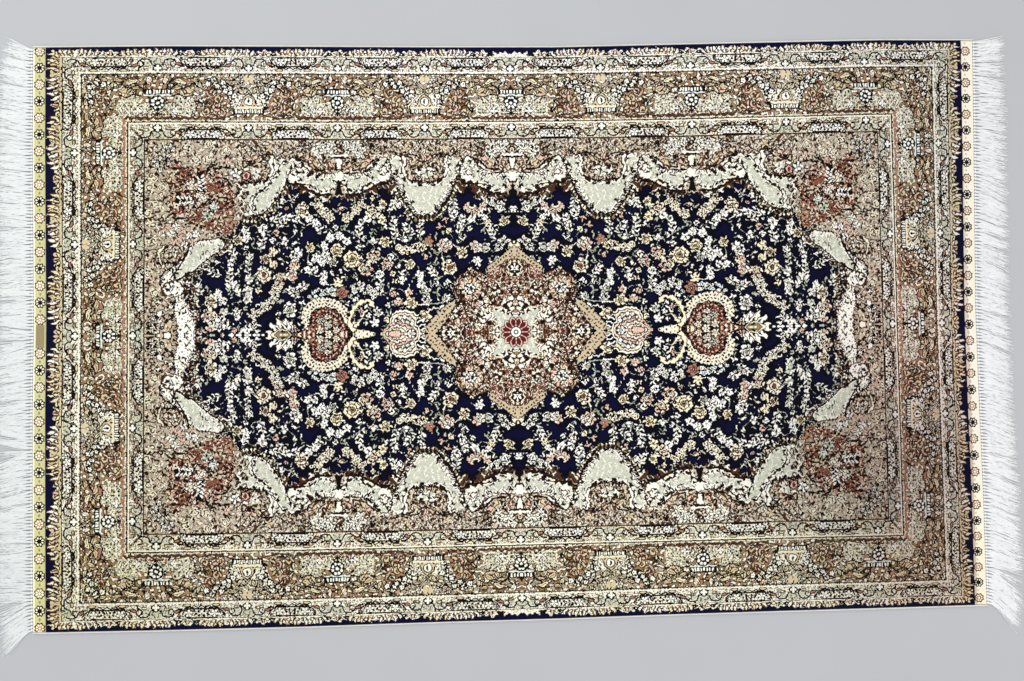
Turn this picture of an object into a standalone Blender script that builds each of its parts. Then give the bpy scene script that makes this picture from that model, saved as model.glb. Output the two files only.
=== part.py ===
"""Silk rug: one knotted cloth with flat-woven ends, two overcast side edges and two warp fringes.

The rug lies flat on z = 0, face up, with its centre above the origin. X runs along the rug,
Y across it and Z up. Everything is in metres.
"""

import bmesh
import bpy
import numpy as np

# Cloth
PILE_LENGTH = 1.466  # knotted part, between the two flat-woven ends
FULL_WIDTH = 0.922  # over both overcast edges
PILE_THICKNESS = 0.0036  # foundation and pile together
END_WIDTH = 0.020  # flat-woven strip at each end
END_THICKNESS = 0.0016
PILE_STEP = 0.0008  # run of the slope from the flat weave up to the pile
EDGE_ROUNDING = 0.0006  # how far the top of the cloth draws in at its rim
GAP = 0.0003  # between neighbouring pieces

# Overcast edges
CORD_WIDTH = 0.0030
CORD_HEIGHT = 0.0034
CORD_FOOT = 0.0016  # width of the flat that it lies on

# Fringes
FRINGE_THICKNESS = 0.0014
FRINGE_BAND = 0.0030  # the row of knots that the tassels hang from
TASSEL_COUNT = 60
TASSEL_SHARE = 0.80  # of the pitch between tassels, the rest is a gap
TASSEL_TIP_SHARE = 0.62
TASSEL_STEPS = 4

# How far the long edges stray from straight, as woven and laid.
SIDE_STRAY = (
    # along the rug, back edge, front edge
    (-0.753, -0.001, 0.000),
    (-0.560, 0.000, -0.001),
    (-0.340, -0.002, -0.001),
    (-0.130, -0.004, 0.001),
    (0.070, -0.005, 0.002),
    (0.240, -0.002, 0.004),
    (0.400, 0.001, 0.005),
    (0.600, 0.004, 0.006),
    (0.753, 0.003, 0.007),
)

# How far the ends stray from straight. The right end bows in at its middle.
END_STRAY = (
    # across the rug, left end, right end
    (-0.461, 0.000, -0.003),
    (-0.280, -0.001, -0.003),
    (-0.120, -0.001, -0.005),
    (0.020, 0.001, -0.006),
    (0.160, 0.000, -0.003),
    (0.300, -0.001, 0.000),
    (0.461, 0.000, 0.003),
)

# How the tassels lie: their reach away from the rug, and how far their tips are swept along its end.
LEFT_LAY = (
    # across the rug, reach, sweep
    (-0.461, 0.046, -0.030),
    (-0.420, 0.056, -0.012),
    (-0.300, 0.060, 0.000),
    (0.000, 0.060, -0.006),
    (0.300, 0.060, 0.004),
    (0.430, 0.052, 0.008),
    (0.461, 0.040, 0.020),
)
RIGHT_LAY = (
    (-0.461, 0.052, -0.022),
    (-0.400, 0.060, -0.032),
    (-0.300, 0.061, -0.020),
    (-0.150, 0.058, -0.018),
    (0.100, 0.056, -0.016),
    (0.300, 0.056, -0.012),
    (0.461, 0.052, -0.002),
)

HALF_LENGTH = PILE_LENGTH / 2 + END_WIDTH
HALF_CLOTH = FULL_WIDTH / 2 - CORD_WIDTH - GAP


def clear_scene():
    for obj in list(bpy.data.objects):
        bpy.data.objects.remove(obj)


def plain_material(name, colour, roughness):
    material = bpy.data.materials.new(name)
    material.use_nodes = True
    shader = material.node_tree.nodes["Principled BSDF"]
    shader.inputs["Base Color"].default_value = (*colour, 1.0)
    shader.inputs["Roughness"].default_value = roughness
    shader.inputs["Metallic"].default_value = 0.0
    return material


def from_rows(rows, at, column):
    """The column of a table, read at a place between its rows."""
    table = np.array(rows)
    return float(np.interp(at, table[:, 0], table[:, column]))


def side_line(x, side):
    """Stray of the long edge on this side (1 back, -1 front) at x."""
    return from_rows(SIDE_STRAY, x, 1 if side > 0 else 2)


def end_line(y, end):
    """Stray of the end on this side (1 right, -1 left) at y."""
    return from_rows(END_STRAY, y, 2 if end > 0 else 1)


def placed(x, y):
    """Where a point of the straight rug lies once both edges and both ends stray."""
    share_back = 0.5 + 0.5 * y / HALF_CLOTH
    share_right = 0.5 + 0.5 * x / HALF_LENGTH
    stray_y = share_back * side_line(x, 1) + (1 - share_back) * side_line(x, -1)
    stray_x = share_right * end_line(y, 1) + (1 - share_right) * end_line(y, -1)
    return x + stray_x, y + stray_y


def add_object(name, bm, material):
    bmesh.ops.recalc_face_normals(bm, faces=bm.faces)
    mesh = bpy.data.meshes.new(name)
    bm.to_mesh(mesh)
    bm.free()
    mesh.materials.append(material)
    obj = bpy.data.objects.new(name, mesh)
    bpy.context.scene.collection.objects.link(obj)
    return obj


def loft(bm, sections):
    """Closed skin over loops of equal length, an even number of points out and back again.

    Each end is closed with a strip of quads from the points on the way out to those on the way back,
    so that a bowed end stays bowed.
    """
    loops = [[bm.verts.new(point) for point in section] for section in sections]
    count = len(loops[0])
    for first, second in zip(loops, loops[1:]):
        for i in range(count):
            j = (i + 1) % count
            bm.faces.new((first[i], first[j], second[j], second[i]))
    for end in (loops[0], loops[-1]):
        for i in range(count // 2 - 1):
            bm.faces.new((end[i], end[i + 1], end[-2 - i], end[-1 - i]))


def cloth_stations():
    """(x, thickness) along the rug: flat weave, slope, pile, slope, flat weave."""
    pile_end = PILE_LENGTH / 2
    left = [(-HALF_LENGTH, END_THICKNESS), (-pile_end, END_THICKNESS)]
    top = [x for x, _, _ in SIDE_STRAY[1:-1]]
    middle = [(x, PILE_THICKNESS) for x in [-pile_end + PILE_STEP] + top + [pile_end - PILE_STEP]]
    right = [(-x, thickness) for x, thickness in reversed(left)]
    return left + middle + right


def add_cloth(material):
    """One sheet, flat beneath. Each section across it is a loop: over the top and back underneath."""
    rim = HALF_CLOTH - EDGE_ROUNDING
    across = [-HALF_CLOTH, -rim] + [y for y, _, _ in END_STRAY[1:-1]] + [rim, HALF_CLOTH]
    sections = []
    for x, thickness in cloth_stations():
        top = []
        for y in across:
            height = thickness - EDGE_ROUNDING if abs(y) >= HALF_CLOTH else thickness
            top.append((*placed(x, y), height))
        under = [(*placed(x, y), 0.0) for y in reversed(across)]
        sections.append(top + under)
    bm = bmesh.new()
    loft(bm, sections)
    return add_object("rug", bm, material)


def cord_section(x, y):
    """An oval with a flat foot, standing upright across the rug's edge."""
    half = CORD_WIDTH / 2
    foot = CORD_FOOT / 2
    shoulder = CORD_HEIGHT * 0.30
    return [
        (x, y - foot, 0.0),
        (x, y + foot, 0.0),
        (x, y + half, shoulder),
        (x, y + half, CORD_HEIGHT - shoulder),
        (x, y + foot, CORD_HEIGHT),
        (x, y - foot, CORD_HEIGHT),
        (x, y - half, CORD_HEIGHT - shoulder),
        (x, y - half, shoulder),
    ]


def add_side_cord(name, side, material):
    """The overcast edge: a cord that follows the long edge from end to end."""
    sections = []
    stations = [x for x, _ in cloth_stations()]
    for x in stations:
        edge_x, edge_y = placed(x, side * HALF_CLOTH)
        sections.append(cord_section(edge_x, edge_y + side * (GAP + CORD_WIDTH / 2)))
    bm = bmesh.new()
    loft(bm, sections)
    return add_object(name, bm, material)


def tassel_side(root_x, root_y, tip_x, tip_y, half_root, half_tip):
    """One side of a tassel from its root to its tip. It leaves square to the rug and then bends."""
    points = []
    for step in range(TASSEL_STEPS + 1):
        share = step / TASSEL_STEPS
        bend = share * share * (2 - share)
        half = half_root + (half_tip - half_root) * share
        points.append((root_x + (tip_x - root_x) * share, root_y + (tip_y - root_y) * bend + half))
    return points


def comb_outline(end, lay):
    """The fringe's outline: along the knots beside the cloth, then out and back round each tassel."""
    pitch = 2 * HALF_CLOTH / TASSEL_COUNT
    outline = [comb_root(end, HALF_CLOTH - i * pitch, GAP) for i in range(TASSEL_COUNT + 1)]
    for i in range(TASSEL_COUNT):
        y = (i + 0.5) * pitch - HALF_CLOTH
        root_x, root_y = comb_root(end, y, GAP + FRINGE_BAND)
        reach = from_rows(lay, y, 1) - FRINGE_BAND
        tip_x = root_x + end * reach * (1 - 0.06 * (i % 3))
        tip_y = root_y + from_rows(lay, y, 2)
        half_root = pitch * TASSEL_SHARE / 2
        half_tip = half_root * TASSEL_TIP_SHARE
        outline += tassel_side(root_x, root_y, tip_x, tip_y, -half_root, -half_tip)
        outline += reversed(tassel_side(root_x, root_y, tip_x, tip_y, half_root, half_tip))
    return outline


def comb_root(end, y, out):
    """A point on the line that lies this far out from the end of the cloth."""
    x, placed_y = placed(end * HALF_LENGTH, y)
    return x + end * out, placed_y


def add_fringe(name, end, lay, material):
    """The warp ends, knotted off beside the flat weave and lying on the floor in tassels."""
    bm = bmesh.new()
    verts = [bm.verts.new((x, y, FRINGE_THICKNESS)) for x, y in comb_outline(end, lay)]
    top = bm.faces.new(verts)
    extruded = bmesh.ops.extrude_face_region(bm, geom=[top], use_keep_orig=True)
    for item in extruded["geom"]:
        if isinstance(item, bmesh.types.BMVert):
            item.co.z = 0.0
    bmesh.ops.triangulate(bm, faces=bm.faces)
    return add_object(name, bm, material)


def main():
    clear_scene()
    pile = plain_material("knotted silk pile", (0.36, 0.24, 0.15), 0.55)
    overcast = plain_material("overcast silk", (0.80, 0.79, 0.76), 0.60)
    warp = plain_material("silk warp fringe", (0.84, 0.85, 0.86), 0.50)
    add_cloth(pile)
    add_side_cord("side_cord_back", 1, overcast)
    add_side_cord("side_cord_front", -1, overcast)
    add_fringe("fringe_left", -1, LEFT_LAY, warp)
    add_fringe("fringe_right", 1, RIGHT_LAY, warp)


main()
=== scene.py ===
"""Silk rug: the looks of its knotted pile, flat-woven ends, overcast edges and fringes.

The rug lies flat on z = 0, face up, with its centre above the origin, X along it and Y across it.
Its pattern is drawn knot by knot on a chart, from functions for each motif, and the chart is kept in
the cloth's own faces, eight knots by eight to a face, where the pile's material reads it.
Places in the model are in metres, and places on the chart in millimetres from the rug's centre.
"""

import math

import bpy
import numpy as np
from bpy.props import FloatProperty, FloatVectorProperty, IntProperty, PointerProperty
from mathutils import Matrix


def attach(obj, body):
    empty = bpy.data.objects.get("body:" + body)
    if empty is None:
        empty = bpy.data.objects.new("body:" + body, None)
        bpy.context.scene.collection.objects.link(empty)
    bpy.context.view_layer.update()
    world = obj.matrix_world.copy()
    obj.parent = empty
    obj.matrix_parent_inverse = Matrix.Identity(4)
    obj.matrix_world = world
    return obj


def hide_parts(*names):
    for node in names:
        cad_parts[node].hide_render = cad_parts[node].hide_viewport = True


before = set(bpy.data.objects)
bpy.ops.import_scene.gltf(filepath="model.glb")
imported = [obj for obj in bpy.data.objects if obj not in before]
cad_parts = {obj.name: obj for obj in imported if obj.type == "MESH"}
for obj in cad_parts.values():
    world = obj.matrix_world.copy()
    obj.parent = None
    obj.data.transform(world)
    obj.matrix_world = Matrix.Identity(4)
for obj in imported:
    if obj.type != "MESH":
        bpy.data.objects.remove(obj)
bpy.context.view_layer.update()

bl_info = {"name": "Silk rug", "version": (1, 0, 0), "blender": (4, 5, 0),
    "location": "3D View > Sidebar > Rug",
    "description": "A hand-knotted silk medallion rug with flat-woven ends and a warp fringe",
    "category": "Add Mesh", }

# ---- dyes
DYES = dict(navy="04052c", ink="0a0605", cream="efe4c6", ivory="faf3e0", white="fffdf4", pale_green="d0d1bf",
    sage="a6aa8e", grey_green="bfc2af", tan="a5805e", camel="b08a68", beige="bcae99", sand="cfbc9c",
    rust="85503c", deep_rust="652c1d", rose="ac7d69", pink="e6c3b0", peach="e0c1a4", khaki="92825f",
    olive="665a33", brown="4c2f1d", crimson="5c1a22", butter="cdca9c", straw="f7eccb", taupe="9c8c70",
    umber="26130c", buff="dfcda9", ice="e9f1ee", mist="bcc2b4", leaf_green="6b734f", midnight="010112")
DYE = {name: k for k, name in enumerate(DYES)}
LINE = 2.2


class Cloth:
    """A grid of knots on which motifs are drawn, with its places in millimetres."""

    def __init__(self, left, right, low, high, cols, rows, ground):
        self.left, self.low = left, low
        self.dx = (right - left) / cols
        self.dy = (high - low) / rows
        self.x = left + (np.arange(cols) + 0.5) * self.dx
        self.y = low + (np.arange(rows) + 0.5) * self.dy
        self.dye = np.full((rows, cols), DYE[ground], np.int8)

    def near(self, x, y, reach, reach_y=None):
        """The knots about a place: a view of their dyes, and how far each lies across and up from it."""
        reach_y = reach if reach_y is None else reach_y
        c0 = max(int((x - reach - self.left) / self.dx), 0)
        c1 = max(int((x + reach - self.left) / self.dx) + 2, 0)
        r0 = max(int((y - reach_y - self.low) / self.dy), 0)
        r1 = max(int((y + reach_y - self.low) / self.dy) + 2, 0)
        return self.dye[r0:r1, c0:c1], self.x[None, c0:c1] - x, self.y[r0:r1, None] - y


def disc(c, x, y, r, dye, squash=1.0):
    view, dx, dy = c.near(x, y, r, r * squash)
    view[dx * dx + (dy / squash) ** 2 < r * r] = DYE[dye]


def block(c, x0, x1, y0, y1, dye):
    view, dx, dy = c.near((x0 + x1) / 2, (y0 + y1) / 2, (x1 - x0) / 2, (y1 - y0) / 2)
    view[(np.abs(dx) < (x1 - x0) / 2) & (np.abs(dy) < (y1 - y0) / 2)] = DYE[dye]


def bloom(c, x, y, r, petals=5, turn=90.0, line="ink", petal="white", heart="rose", eye="ink", wave=0.16,
        slit=True):
    """A flower face on: its outline waves in and out once for each petal."""
    view, dx, dy = c.near(x, y, r + LINE)
    dist = np.hypot(dx, dy)
    swing = np.cos(petals * (np.arctan2(dy, dx) - np.radians(turn)))
    edge = r * (1 - wave + wave * swing)
    view[dist < edge + 0.4 * LINE] = DYE[line]
    inside = dist < edge - 0.6 * LINE
    view[inside] = DYE[petal]
    if slit and r > 5:
        view[inside & (swing < -0.75) & (dist > 0.45 * r)] = DYE[line]
    if heart:
        view[dist < 0.36 * r] = DYE[heart]
    if eye:
        view[dist < max(0.17 * r, 0.8)] = DYE[eye]


def leaf(c, x, y, length, width, angle, bend=0.0, line="ink", fill="cream", rib=None):
    """A leaf from its foot: its half width is a bulge that is nothing at both ends, about a bent midline."""
    a = np.radians(angle)
    ca, sa = np.cos(a), np.sin(a)
    reach = length * 0.55 + width * (0.6 + abs(bend)) + LINE
    view, dx, dy = c.near(x + ca * length / 2, y + sa * length / 2, reach)
    along = (dx * ca + dy * sa) / length + 0.5
    bulge = np.clip(4 * along * (1 - along), 0, 1)
    side = (dy * ca - dx * sa) - bend * width * bulge
    gap = 0.5 * width * bulge ** 0.8 - np.abs(side)
    if line:
        view[(gap > -0.45 * LINE) & (bulge > 0.02)] = DYE[line]
    view[gap > (LINE * 0.35 if line else 0)] = DYE[fill]
    if rib:
        view[(np.abs(side) < 0.5) & (along > 0.12) & (along < 0.8)] = DYE[rib]


def stroke(c, points, width, dye="umber", edge=None, taper=0.0):
    """A line of this width through points; edge gives it an outline, taper thins it to its end."""
    p = np.asarray(points, float)
    lo, hi = p.min(0), p.max(0)
    mid, reach = (lo + hi) / 2, (hi - lo) / 2 + width + 3
    view, dx, dy = c.near(mid[0], mid[1], reach[0], reach[1])
    if view.size == 0:
        return
    p = p - mid
    best = np.full(view.shape, 1e9)
    half = np.full(view.shape, width / 2)
    for k, (a, b) in enumerate(zip(p[:-1], p[1:])):
        d = b - a
        t = np.clip(((dx - a[0]) * d[0] + (dy - a[1]) * d[1]) / max(float(d @ d), 1e-9), 0, 1)
        far = (dx - a[0] - t * d[0]) ** 2 + (dy - a[1] - t * d[1]) ** 2
        if taper:
            half = np.where(far < best, width / 2 * (1 - taper * (k + t) / (len(p) - 1)), half)
        best = np.minimum(best, far)
    if edge:
        view[best < (half + LINE * 0.8) ** 2] = DYE[edge]
    view[best < half ** 2] = DYE[dye]


def curve(points, steps=5, closed=False):
    """A smooth line through points, each stretch a cubic that leaves along its neighbours."""
    p = np.asarray(points, float)
    p = np.vstack([p[-1], p, p[0], p[1]]) if closed else np.vstack([2 * p[0] - p[1], p, 2 * p[-1] - p[-2]])
    t = (np.arange(steps) / steps)[:, None, None]
    a, b, d, e = (p[None, k:len(p) - 3 + k] for k in range(4))
    out = 2 * b + (d - a) * t + (2 * a - 5 * b + 4 * d - e) * t ** 2
    out = 0.5 * (out + (3 * b - a - 3 * d + e) * t ** 3)
    out = out.transpose(1, 0, 2).reshape(-1, 2)
    return out if closed else np.vstack([out, p[-2]])


def sided(middle, k, *points, d=float):
    """Points given for one half of a form, on side k (-1 or 1) of its middle; d turns their depths."""
    return [(middle + k * x, d(y)) for x, y in points]


def arc(x, y, r, start, stop):
    return spiral(x, y, r, r, start, stop, 12)


def spiral(x, y, r0, r1, start, stop, n=18):
    a = np.radians(np.linspace(start, stop, n))
    r = np.linspace(r0, r1, n)
    return np.stack([x + r * np.cos(a), y + r * np.sin(a)], -1)


def patch(c, points, dye, edge=None, width=LINE):
    """A closed outline filled with one dye.

    A knot is inside where a line from it to the right meets the outline an odd number of times.
    """
    p = np.asarray(points, float)
    lo, hi = p.min(0), p.max(0)
    mid, reach = (lo + hi) / 2, (hi - lo) / 2 + 1
    view, dx, dy = c.near(mid[0], mid[1], reach[0], reach[1])
    q = p - mid
    odd = np.zeros(view.shape, bool)
    for (ax, ay), (bx, by) in zip(q, np.roll(q, -1, 0)):
        if ay != by:
            odd ^= (dy > min(ay, by)) & (dy <= max(ay, by)) & (dx < ax + (dy - ay) * (bx - ax) / (by - ay))
    view[odd] = DYE[dye]
    if edge:
        stroke(c, np.vstack([p, p[:1]]), width, edge)


def yarn(c, points, width, dye="umber", edge=None):
    """A smooth stroke."""
    stroke(c, curve(points), width, dye, edge)


def blob(c, points, dye, edge=None, width=LINE):
    """A smooth patch."""
    patch(c, curve(points, 3, True), dye, edge, width)


def tilt(a, k):
    """An angle given for the right half of a form, on its side k."""
    return a if k > 0 else 180 - a


def turns(count, start=0):
    """Angles in radians, evenly round a circle."""
    return np.radians(start + np.arange(count) * 360 / count)


def polar(x, y, r, a):
    """The place at distance r from x, y, in the direction a in radians."""
    return x + r * np.cos(a), y + r * np.sin(a)


def heading(angle):
    """The unit vector at an angle in degrees."""
    return np.array([np.cos(np.radians(angle)), np.sin(np.radians(angle))])


def redye(c, old, new, where=True):
    """Changes one dye for another where the mask allows it."""
    c.dye[where & (c.dye == DYE[old])] = DYE[new]


def clouds(c, where, surface, *steps):
    """Dyes a form in patches: each step's dye covers the knots where the surface stands above its level."""
    for level, dye in steps:
        c.dye[where & (surface > level)] = DYE[dye]


def rings(c, x, y, *pairs):
    """Round spots one on top of the other, as radius and dye."""
    for r, dye in pairs:
        disc(c, x, y, r, dye)


def comb(c, x0, x1, y0, y1, teeth, light="white", dark="umber"):
    """A row of upright dashes between two bars."""
    view, dx, dy = c.near((x0 + x1) / 2, (y0 + y1) / 2, (x1 - x0) / 2, abs(y1 - y0) / 2)
    part = (dx / (x1 - x0) + 0.5)
    inside = (np.abs(dx) < (x1 - x0) / 2) & (np.abs(dy) < abs(y1 - y0) / 2)
    light_on = (part * teeth) % 1 < 0.56
    view[inside & light_on] = DYE[light]
    view[inside & ~light_on] = DYE[dark]


def free(c, x, y, r, grounds):
    """Whether only ground shows within r."""
    view, dx, dy = c.near(x, y, r)
    if view.size == 0:
        return False
    return bool(np.isin(view[dx * dx + dy * dy < r * r], grounds).all())


def strew(c, rng, x0, x1, y0, y1, gap, room, grounds, draw):
    """Calls draw at places of a jittered grid that still have plain ground round them."""
    codes = [DYE[g] for g in grounds]
    xs, ys = np.meshgrid(np.arange(x0, x1, gap, float), np.arange(y0, y1, gap, float))
    xs[1::2] += gap / 2
    spots = np.stack([xs.ravel(), ys.ravel()], -1) + rng.uniform(-0.35, 0.35, (xs.size, 2)) * gap
    for x, y in spots:
        if free(c, x, y, room, codes):
            draw(x, y)


def waves(c, seed, size):
    """A smooth random surface about 0: a sum of plane waves, each near this size from crest to crest."""
    rng = np.random.default_rng(seed)
    total = 0
    for turn, share, start in rng.uniform((0, 0.8, 0), (2 * np.pi, 1.5, 2 * np.pi), (14, 3)):
        step = 2 * np.pi / (size * share)
        total = total + np.cos(step * (np.cos(turn) * c.x[None] + np.sin(turn) * c.y[:, None]) + start)
    return total / np.sqrt(7)


def showing(c, names):
    """The knots that bear one of these dyes."""
    return np.isin(c.dye, [DYE[name] for name in names])


def speckle(c, seed, where, lights):
    """Dyes knots in the light dyes, each chosen by a slow random surface."""
    pick = (np.abs(waves(c, seed, 9.0)) * 1.7).astype(int) % len(lights)
    c.dye[where] = np.array([DYE[name] for name in lights])[pick][where]


def tangle(c, seed, size, grounds, lights, dark="umber", rise=0.15, top=0.85, vine=0.0, on=True):
    """Leafy tangle on ground that is still plain: the crests of a random surface, each with a dark rim.

    A second surface's zero line gives the vines between them, and a slow third one picks the light dye.
    """
    plain = on & showing(c, grounds)
    crest = waves(c, seed, size)
    c.dye[plain & (crest > rise)] = DYE[dark]
    if vine:
        c.dye[plain & (crest < rise - 0.4) & (np.abs(waves(c, seed + 2, size * 1.4)) < vine)] = DYE[dark]
    speckle(c, seed + 1, plain & (crest > top), lights)


def scribble(c, seed, size, width, grounds, dark, lights, gaps=0.4, spots=0.9, on=True):
    """Broken dark curls and pale specks on ground that is still plain.

    The curls follow the zero line of a random surface, where a second surface is not too low; a third
    surface's crests are the specks, and a slow fourth one picks each speck's dye.
    """
    plain = on & showing(c, grounds)
    curls = np.abs(waves(c, seed, size)) < np.pi * width / size
    curls &= waves(c, seed + 2, size * 0.8) > -gaps
    specks = waves(c, seed + 1, size * 0.5) > spots
    speckle(c, seed + 3, plain & specks & ~curls, lights)
    c.dye[plain & curls] = DYE[dark]


def inside(c, points):
    """The knots within a closed outline."""
    probe = Cloth.__new__(Cloth)
    probe.__dict__.update(c.__dict__, dye=np.zeros_like(c.dye))
    patch(probe, points, "cream")
    return probe.dye == DYE["cream"]


def along(path, pitch):
    """Places at an even pitch along a line, with the direction square to it."""
    run = np.concatenate([[0], np.cumsum(np.hypot(*np.diff(path, axis=0).T))])
    s = np.arange(0, run[-1] + 0.1, pitch)
    at = np.stack([np.interp(s, run, path[:, 0]), np.interp(s, run, path[:, 1])], -1)
    t = np.gradient(at, axis=0)
    return at, np.stack([-t[:, 1], t[:, 0]], -1) / np.hypot(*t.T)[:, None]


def rim_of(form, reach):
    """The part of a form that lies within this many knots of its outline."""
    out = ~form
    for _ in range(reach):
        p = np.pad(out, 1, mode="edge")
        out = out | p[:-2, 1:-1] | p[2:, 1:-1] | p[1:-1, :-2] | p[1:-1, 2:]
    return form & out


def fray(c, form):
    """Ragged outlines: inside a pale form a light rim crossed by dark curls, outside it brown scrolls."""
    c.dye[rim_of(form, 3)] = DYE["ivory"]
    curls = (np.abs(waves(c, 81, 11.0)) < 0.62) & (waves(c, 82, 9.0) > -0.2)
    c.dye[rim_of(form, 8) & curls] = DYE["umber"]
    scribble(c, 83, 11.0, 2.6, ["navy"], "brown", ["cream", "khaki", "pink"], 0.5, 0.8, rim_of(~form, 15))


def garland(c, points, breadth, dye, dot="umber", edge="ink", pitch=5.6):
    """A pale band with a scalloped rim and rows of dark dots."""
    path = curve(points)
    at, out = along(path, pitch)
    rim = np.vstack([at + k * (breadth / 2 - 1.4) * out for k in (-1, 1)])
    for x, y in rim:
        disc(c, x, y, 4.3, edge)
    stroke(c, path, breadth - 2.4, dye)
    for x, y in rim:
        disc(c, x, y, 2.6, dye)
    rows = (0,) if breadth < 9 else (-0.22, 0.22)
    for n, k in enumerate(rows):
        for x, y in (at[:-1] + at[1:]) / 2 * n + at[:-1] * (1 - n) + k * breadth * out[:-1]:
            disc(c, x, y, 1.6, dot)


def florets(c, rng, points, breadth, dye):
    """A garland of dotted florets crowded along a line."""
    at, out = along(curve(points), 5.8)
    rows = (-0.32, 0, 0.32) if breadth > 13 else (-0.26, 0.26) if breadth > 9 else (0,)
    spots = [p + k * breadth * o + rng.uniform(-1.7, 1.7, 2) for p, o in zip(at, out) for k in rows]
    for x, y in spots:
        disc(c, x, y, 4.0, "midnight")
    for n, (x, y) in enumerate(spots):
        disc(c, x, y, 2.7, (dye, dye, "ivory", dye, "pale_green")[n % 5])
        disc(c, x, y, 1.15, "umber")


# ---- border strips
BAND, GUARD, MAIN, FIELD = 22.0, 49.0, 121.0, 149.0   # standard depths of the border's lines
KNOT_PITCH = 0.78
STRIP_ROWS = 192   # knots across a border's strip


def rosette(c, x, y, r, petals=8, petal="white", heart="white", line="ink", turn=0.0, eye=None):
    """A dark disc with a ring of round pale petals, and a pale heart in its middle."""
    disc(c, x, y, r, line)
    for a in turns(petals, turn):
        disc(c, *polar(x, y, 0.64 * r, a), 1.5 * r / petals, petal)
    disc(c, x, y, 0.30 * r, heart)
    if eye:
        disc(c, x, y, 0.13 * r, eye)


def squiggle(c, x, y, size, angle, width, dye, edge=None):
    """A short S of thread."""
    at, t = np.array([x, y]), heading(angle)
    n = np.array([-t[1], t[0]])
    bends = [at + t * size * a + n * size * b for a, b in ((-1, 0), (-0.4, 0.35), (0.4, -0.35), (1, 0))]
    stroke(c, curve(bends, 3), width, dye, edge)


def leaf_cluster(c, s, grow):
    """A crown of pale flames that climbs over the dark edge."""
    for n, (foot, angle, length) in enumerate(((-33, 122, 12), (33, 58, 12), (-27, 104, 14), (27, 76, 14),
            (-21, 72, 13), (21, 108, 13), (-15, 112, 15), (15, 68, 15), (-8, 84, 15), (8, 96, 15),
            (-3, 108, 15), (3, 72, 15))):
        leaf(c, s + foot, BAND - 3, length * grow, 5.6, -angle, 0.5 * np.sign(foot),
            "brown" if n % 3 else "ink", ("ivory", "cream", "white", "straw")[n % 4])
    for k in (-1, 1):
        for x in (5, 18, 30):
            stroke(c, arc(s + k * x, BAND - 7, 3.2, 200, 350), 1.4, "brown")
        disc(c, s + k * 24, BAND - 6, 1.6, "rose")


def low_palmette(c, s, hooked):
    """A small palmette in a dark bay, with dark hooks beside it where the band is broad."""
    for k in (-1, 1):
        leaf(c, s + k * 3, BAND - 3, 8, 4.6, -90 + k * 48, 0.2 * k, "umber", "straw")
        stroke(c, arc(s + k * 16, BAND - 4, 4, 200, 360 if k > 0 else 340), 2.2, "cream", "umber")
        if hooked:
            curl(c, s + k * 15, BAND - 7, 4.6, k, "ink", None, 2.4)
    leaf(c, s, BAND - 3, 10, 4.6, -90, 0, "umber", "pink")


def outer_band(c, length, clusters, palmettes, ground, bay, grow):
    """The dark edge, with the pale ground rising into it in ragged crowns between dark bays."""
    block(c, 0, length, -2, BAND, "navy")
    teeth = 1.5 * np.sin(c.x[None] / 1.5) + 1.2 * np.sin(c.x[None] / 2.7 + 1)
    rise = np.zeros_like(teeth)
    for s in clusters:
        rise = np.maximum(rise, (bay - 7) * np.exp(-((c.x[None] - s) / 35) ** 6))
    for s in palmettes:
        rise = np.maximum(rise, 3.5 * np.exp(-((c.x[None] - s) / 8) ** 2))
    c.dye[(c.y[:, None] > bay + teeth - rise) & (c.y[:, None] < BAND)] = DYE[ground]
    for s in palmettes:
        low_palmette(c, s, grow < 1.2)
    for s in clusters:
        leaf_cluster(c, s, grow)
    tangle(c, 61, 5.5, [ground], [ground, "cream", "ivory", ground], "umber", 0.9, 1.5,
        on=c.y[:, None] < BAND - 2)
    block(c, 0, length, BAND - 0.9, BAND + 0.8, "umber")


def guard_unit(c, s, d):
    """One quatrefoil and the arches each side of it; d turns a standard depth into the guard's own."""
    block(c, s - 9, s + 9, *sorted((d(24), d(35))), "pale_green")
    for k in (-1, 1):
        disc(c, s + k * 16, d(33), 5, "pale_green")
        disc(c, s + k * 31, d(41.5), 4.5, "ivory", 0.8)
        squiggle(c, s + k * 4, d(28), 3.5, 90 - k * 30, 1.3, "olive")
        stroke(c, [(s, d(35.5)), (s + k * 8, d(35)), (s + k * 9.5, d(30))], 1.9, "ink")
        yarn(c, sided(s, k, (9.5, 31), (12, 26.5), (20, 25.2), (26, 28), (29, 33), (35, 37), (41, 37.5),
            d=d), 2.3)
        yarn(c, sided(s, k, (25, 28), (20, 31), (21, 36), (26, 37), d=d), 1.9)
        leaf(c, s + k * 27, d(33), 11, 4.4, tilt(14, k), 0.3, "umber", "rose")
        leaf(c, s + k * 12, d(38), 9, 4, tilt(0, k), 0.3, "olive", "ivory")
        for x, y in ((14, 43.5), (20, 41), (25, 44), (36, 44), (41, 42)):
            disc(c, s + k * x, d(y), 1.3, "taupe" if x % 2 else "rust")
        squiggle(c, s + k * 37, d(28), 3.2, 70 * k, 1.4, "brown")
    for reach, r, dye in ((3.6, 4.0, "ink"), (3.3, 2.1, "white")):
        for a in turns(4):
            disc(c, *polar(s, d(40.0), reach, a), r, dye)
    disc(c, s, d(40.0), 2.0, "white")


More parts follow.
